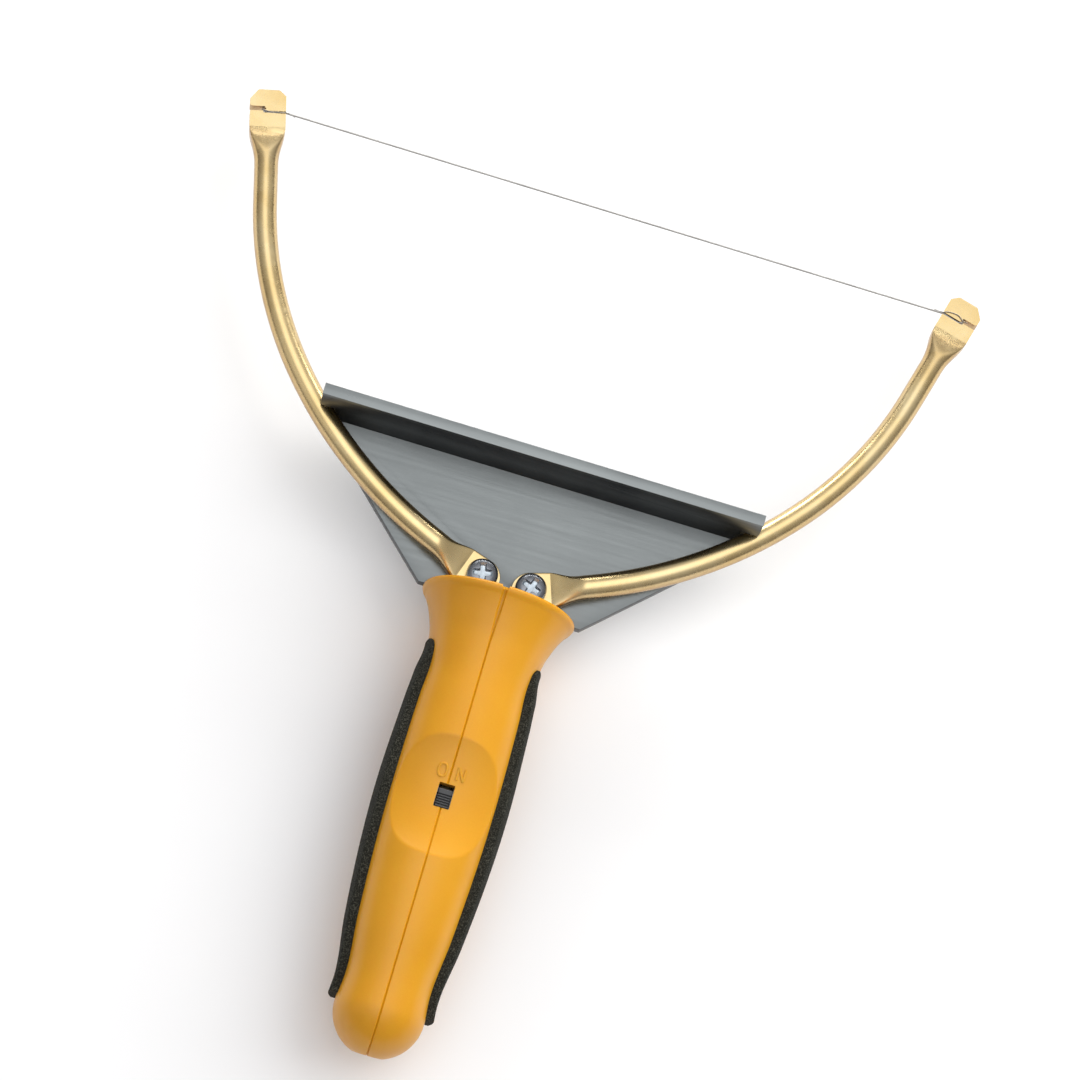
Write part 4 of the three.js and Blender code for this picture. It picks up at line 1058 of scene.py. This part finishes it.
def cross_tool(reach, width, top, bottom):
    """A cross-shaped driver recess, tapering downwards."""
    wide, narrow = cross_outline(reach, width), cross_outline(reach * 0.66, width * 0.6)
    points = [(u, v, top) for u, v in wide] + [(u, v, bottom) for u, v in narrow]
    return make("tool", points, prism_faces(len(wide)))


def clamp_screw(side):
    label = LABELS[side]
    low, high = [np.array(corner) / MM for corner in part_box(f"clamp_screw_{label}")]
    x, y = (low[0] + high[0]) / 2, (low[1] + high[1]) / 2 - MOUTH_Y
    radius = (high[0] - low[0]) / 2
    tip, head_top = low[2], high[2]
    under = head_top - SCREW["head"]
    profile = [(0, tip), (1.35, tip), (1.8, tip + 0.6)]
    pitch, crest, root = SCREW["pitch"], SCREW["crest"], SCREW["root"]
    z = tip + 0.9
    while z < under - 1.2:
        profile += [(root, z), (crest, z + pitch * 0.42), (crest, z + pitch * 0.52)]
        z += pitch
    profile += [(1.7, z), (crest, under - 0.6), (2.05, under), (radius - 0.25, under),
                (radius - 0.03, under + 0.12), (radius, under + 0.35)]
    for a in np.linspace(0.12, math.pi / 2, 14)[:-1]:
        profile.append((radius * math.cos(a) ** 0.62, under + 0.95 + 1.65 * math.sin(a) ** 0.9))
    profile.append((0, head_top))
    screw = lathe(f"clamp_screw_head_{label}", profile, 96, "z", (x, y, 0), 30)
    c, s = unit(SCREW["turned"][side])
    tool = cross_tool(CROSS["reach"], CROSS["width"], head_top + 0.6, head_top - CROSS["depth"])
    move_points(tool, lambda p: np.stack([x + p @ (c, -s, 0), y + p @ (s, c, 0), p[:, 2]], -1))
    boolean(screw, [tool], sharp_deg=30)
    round_edges(screw, 0.09, 2, 40)
    dress(screw, "zinc_steel", f"clamp_screw_{label}", f"{label}_clamp_screw")
    screw.data.materials.append(RECESS_PAINTED_HIGHLIGHT)
    axis = Vector((x, y + MOUTH_Y, 0)) * MM
    # faces in the cross recess take the lighter copy of the zinc, a painted highlight
    for face in screw.data.polygons:
        away = face.center - axis
        in_recess = under + 0.3 < face.center.z / MM < under + 2.2 and away.xy.length < 2.95 * MM
        face.material_index = 1 if in_recess else 0


clamp_screw(1)
clamp_screw(-1)


def build_knob():
    """A stem with five grooves across its top, on the foot that slides under the dish."""
    low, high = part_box("switch_knob")
    y0, y1 = low.y / MM - MOUTH_Y, high.y / MM - MOUTH_Y
    top, base = high.z / MM, KNOB["base"]
    rear, front = (y0 + y1 - KNOB["length"]) / 2, (y0 + y1 + KNOB["length"]) / 2
    outline = [(rear, base), (rear, top - 0.2), (rear + 0.2, top)]
    for k in range(5):
        at, floor = rear + KNOB["first"] + k * KNOB["pitch"], top - KNOB["groove"]
        outline += [(at, top), (at + 0.10, floor), (at + 0.34, floor), (at + 0.44, top)]
    outline += [(front - 0.25, top), (front, top - 0.25), (front, base)]
    stem = prism("knob_stem", outline, "x", -KNOB["half_width"], KNOB["half_width"])
    foot = KNOB_FOOT["half_width"]
    boolean(stem, [box_mesh("tool", (-foot, foot), (y0, y1), KNOB_FOOT["heights"])], "UNION")
    stem.name = "switch_knob_ribbed"
    round_edges(stem, 0.07, 2, 40, 40)
    dress(stem, "dark_plastic", "switch_knob", "switch_slider")


build_knob()


# -------- raised ON beside the switch

def letter(name, strokes, closed):
    """A raised letter on the dish: each stroke is a line of plan points, swept with a rounded section."""
    half_section = [(0.40, -0.4), (0.33, 0.08), (0.20, 0.19)]
    section = [(-across, up) for across, up in half_section] + [(0, 0.22)] + half_section[::-1]
    m = len(section)
    points, faces = [], []
    for stroke in strokes:
        path = np.asarray(stroke, float)
        n = len(path)
        nxt, prv = np.roll(path, -1, 0), np.roll(path, 1, 0)
        if not closed:
            nxt[-1], prv[0] = path[-1], path[0]
        t = nxt - prv
        t /= np.linalg.norm(t, axis=1)[:, None]
        side = np.stack([t[:, 1], -t[:, 0]], -1)
        start = len(points)
        for across, up in section:
            q = path + side * across
            z = dish_height(q[:, 0], q[:, 1]) + up
            points += np.stack([q[:, 0], q[:, 1], z], -1).tolist()
        faces += grid_faces(m, n, wrap_rows=True, wrap_cols=closed, start=start)
        if not closed:
            faces += [[start + r * n for r in range(m)], [start + r * n + n - 1 for r in range(m)]]
    dress(make(name, points, faces, 60), "amber_plastic")


def build_letters():
    a = np.linspace(0, 2 * math.pi, 48, endpoint=False)
    ring = (-2.25, -49.0) + signed_power(np.stack([np.cos(a), np.sin(a)], -1), 0.85) * (1.05, 1.65)
    letter("raised_letter_o", [ring], True)
    left, right, low, high = 1.7, 3.5, -50.7, -47.4
    corners = [(left, low), (left, high), (right, low), (right, high)]
    letter("raised_letter_n", [np.linspace(p, q, 10) for p, q in zip(corners, corners[1:])], False)


build_letters()


# -------- nodes kept from the CAD

def keep_cad_nodes():
    stood_for = {n for o in bpy.context.scene.objects for n in (o.get("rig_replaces") or [])}
    for name, obj in frame["nodes"].items():
        if name in stood_for:
            continue
        obj.data.materials.clear()
        obj.data.materials.append(MATERIALS[SLOT_OF[name]])
        weld = obj.modifiers.new("weld", "WELD")
        weld.merge_threshold = 2e-6
        add_bevel(obj, 0.09, 2, 35).harden_normals = True


keep_cad_nodes()


# -------- floor, light and camera

def build_stage():
    low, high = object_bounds()
    clearance, reach = 0.2 * MM, 4.0
    points = [(reach * x, reach * y, low.z - clearance) for x, y in ((-1, -1), (1, -1), (1, 1), (-1, 1))]
    mesh = bpy.data.meshes.new("floor")
    mesh.from_pydata(points, [], [[0, 1, 2, 3]])
    floor = place("floor", mesh)
    n = Nodes("floor_paper")
    n.set(Base_Color=n.ramp(n.noise(6, 3), (0.3, (0.90, 0.90, 0.90)), (0.7, (0.93, 0.93, 0.93))))
    n.set(Roughness=0.8)
    mesh.materials.append(n.mat)

    def lamp(name, at, target, size, power, tone):
        data = bpy.data.lights.new(name, "AREA")
        data.shape = "RECTANGLE"
        data.size, data.size_y = size
        data.energy = power
        data.color = tone
        obj = place(name, data)
        obj.location = at
        obj.rotation_euler = (target - at).to_track_quat("-Z", "Y").to_euler()
        return obj

    middle = (low + high) / 2
    key = lamp("key", middle + Vector((0.85, 0.55, 0.95)), middle, (1.5, 1.5), 14.5, (1.0, 0.99, 0.97))
    # it lights the object but isn't seen in its reflections
    key.visible_glossy = False
    lamp("front", middle + Vector((-0.1, 1.35, 0.42)), middle, (1.6, 0.4), 15, (1.0, 1.0, 1.0))
    lamp("side", middle + Vector((-1.3, -0.5, 0.8)), middle, (0.6, 1.0), 0.6, (0.97, 0.98, 1.0))
    world = bpy.data.worlds.new("studio")
    bpy.context.scene.world = world
    world.use_nodes = True
    tree = world.node_tree
    height = tree.nodes.new("ShaderNodeSeparateXYZ")
    tree.links.new(tree.nodes.new("ShaderNodeTexCoord").outputs["Generated"], height.inputs[0])
    ramp = tree.nodes.new("ShaderNodeValToRGB")
    tree.links.new(height.outputs["Z"], ramp.inputs["Fac"])
    sky = ((0.0, 0.10), (0.25, 0.24), (0.60, 0.34), (0.82, 0.44), (0.93, 1.25), (1.0, 1.45))
    fill_ramp(ramp.color_ramp, [(at, (level, level, 1.02 * level)) for at, level in sky])
    tree.links.new(ramp.outputs["Color"], tree.nodes["Background"].inputs["Color"])
    tree.nodes["Background"].inputs["Strength"].default_value = 1.15
    bpy.context.scene.view_settings.view_transform = "Standard"


def build_camera():
    """Looks down on the switch side, leaning a little, rolled so that the handle runs down to the left."""
    aim = Vector((5.38, -18.47, 0)) * MM
    distance, lens = 1.0, 128.34
    roll, lean, tilt = [math.radians(angle) for angle in (16.81, 1.47, 19.07)]
    forward = Vector((math.sin(lean), math.sin(tilt), 0))
    forward.z = -math.sqrt(1 - forward.length_squared)
    right = (Vector((1, 0, 0)) - forward * forward.x).normalized()
    up = right.cross(forward)
    x_axis = right * math.cos(roll) + up * math.sin(roll)
    y_axis = up * math.cos(roll) - right * math.sin(roll)
    data = bpy.data.cameras.new("camera")
    data.lens, data.sensor_width = lens, 36
    data.clip_start, data.clip_end = 0.05, 20
    camera = place("camera", data)
    turn = Matrix((x_axis, y_axis, -forward)).transposed().to_4x4()
    turn.translation = aim - forward * distance
    camera.matrix_world = turn
    bpy.context.scene.camera = camera


build_stage()
build_camera()
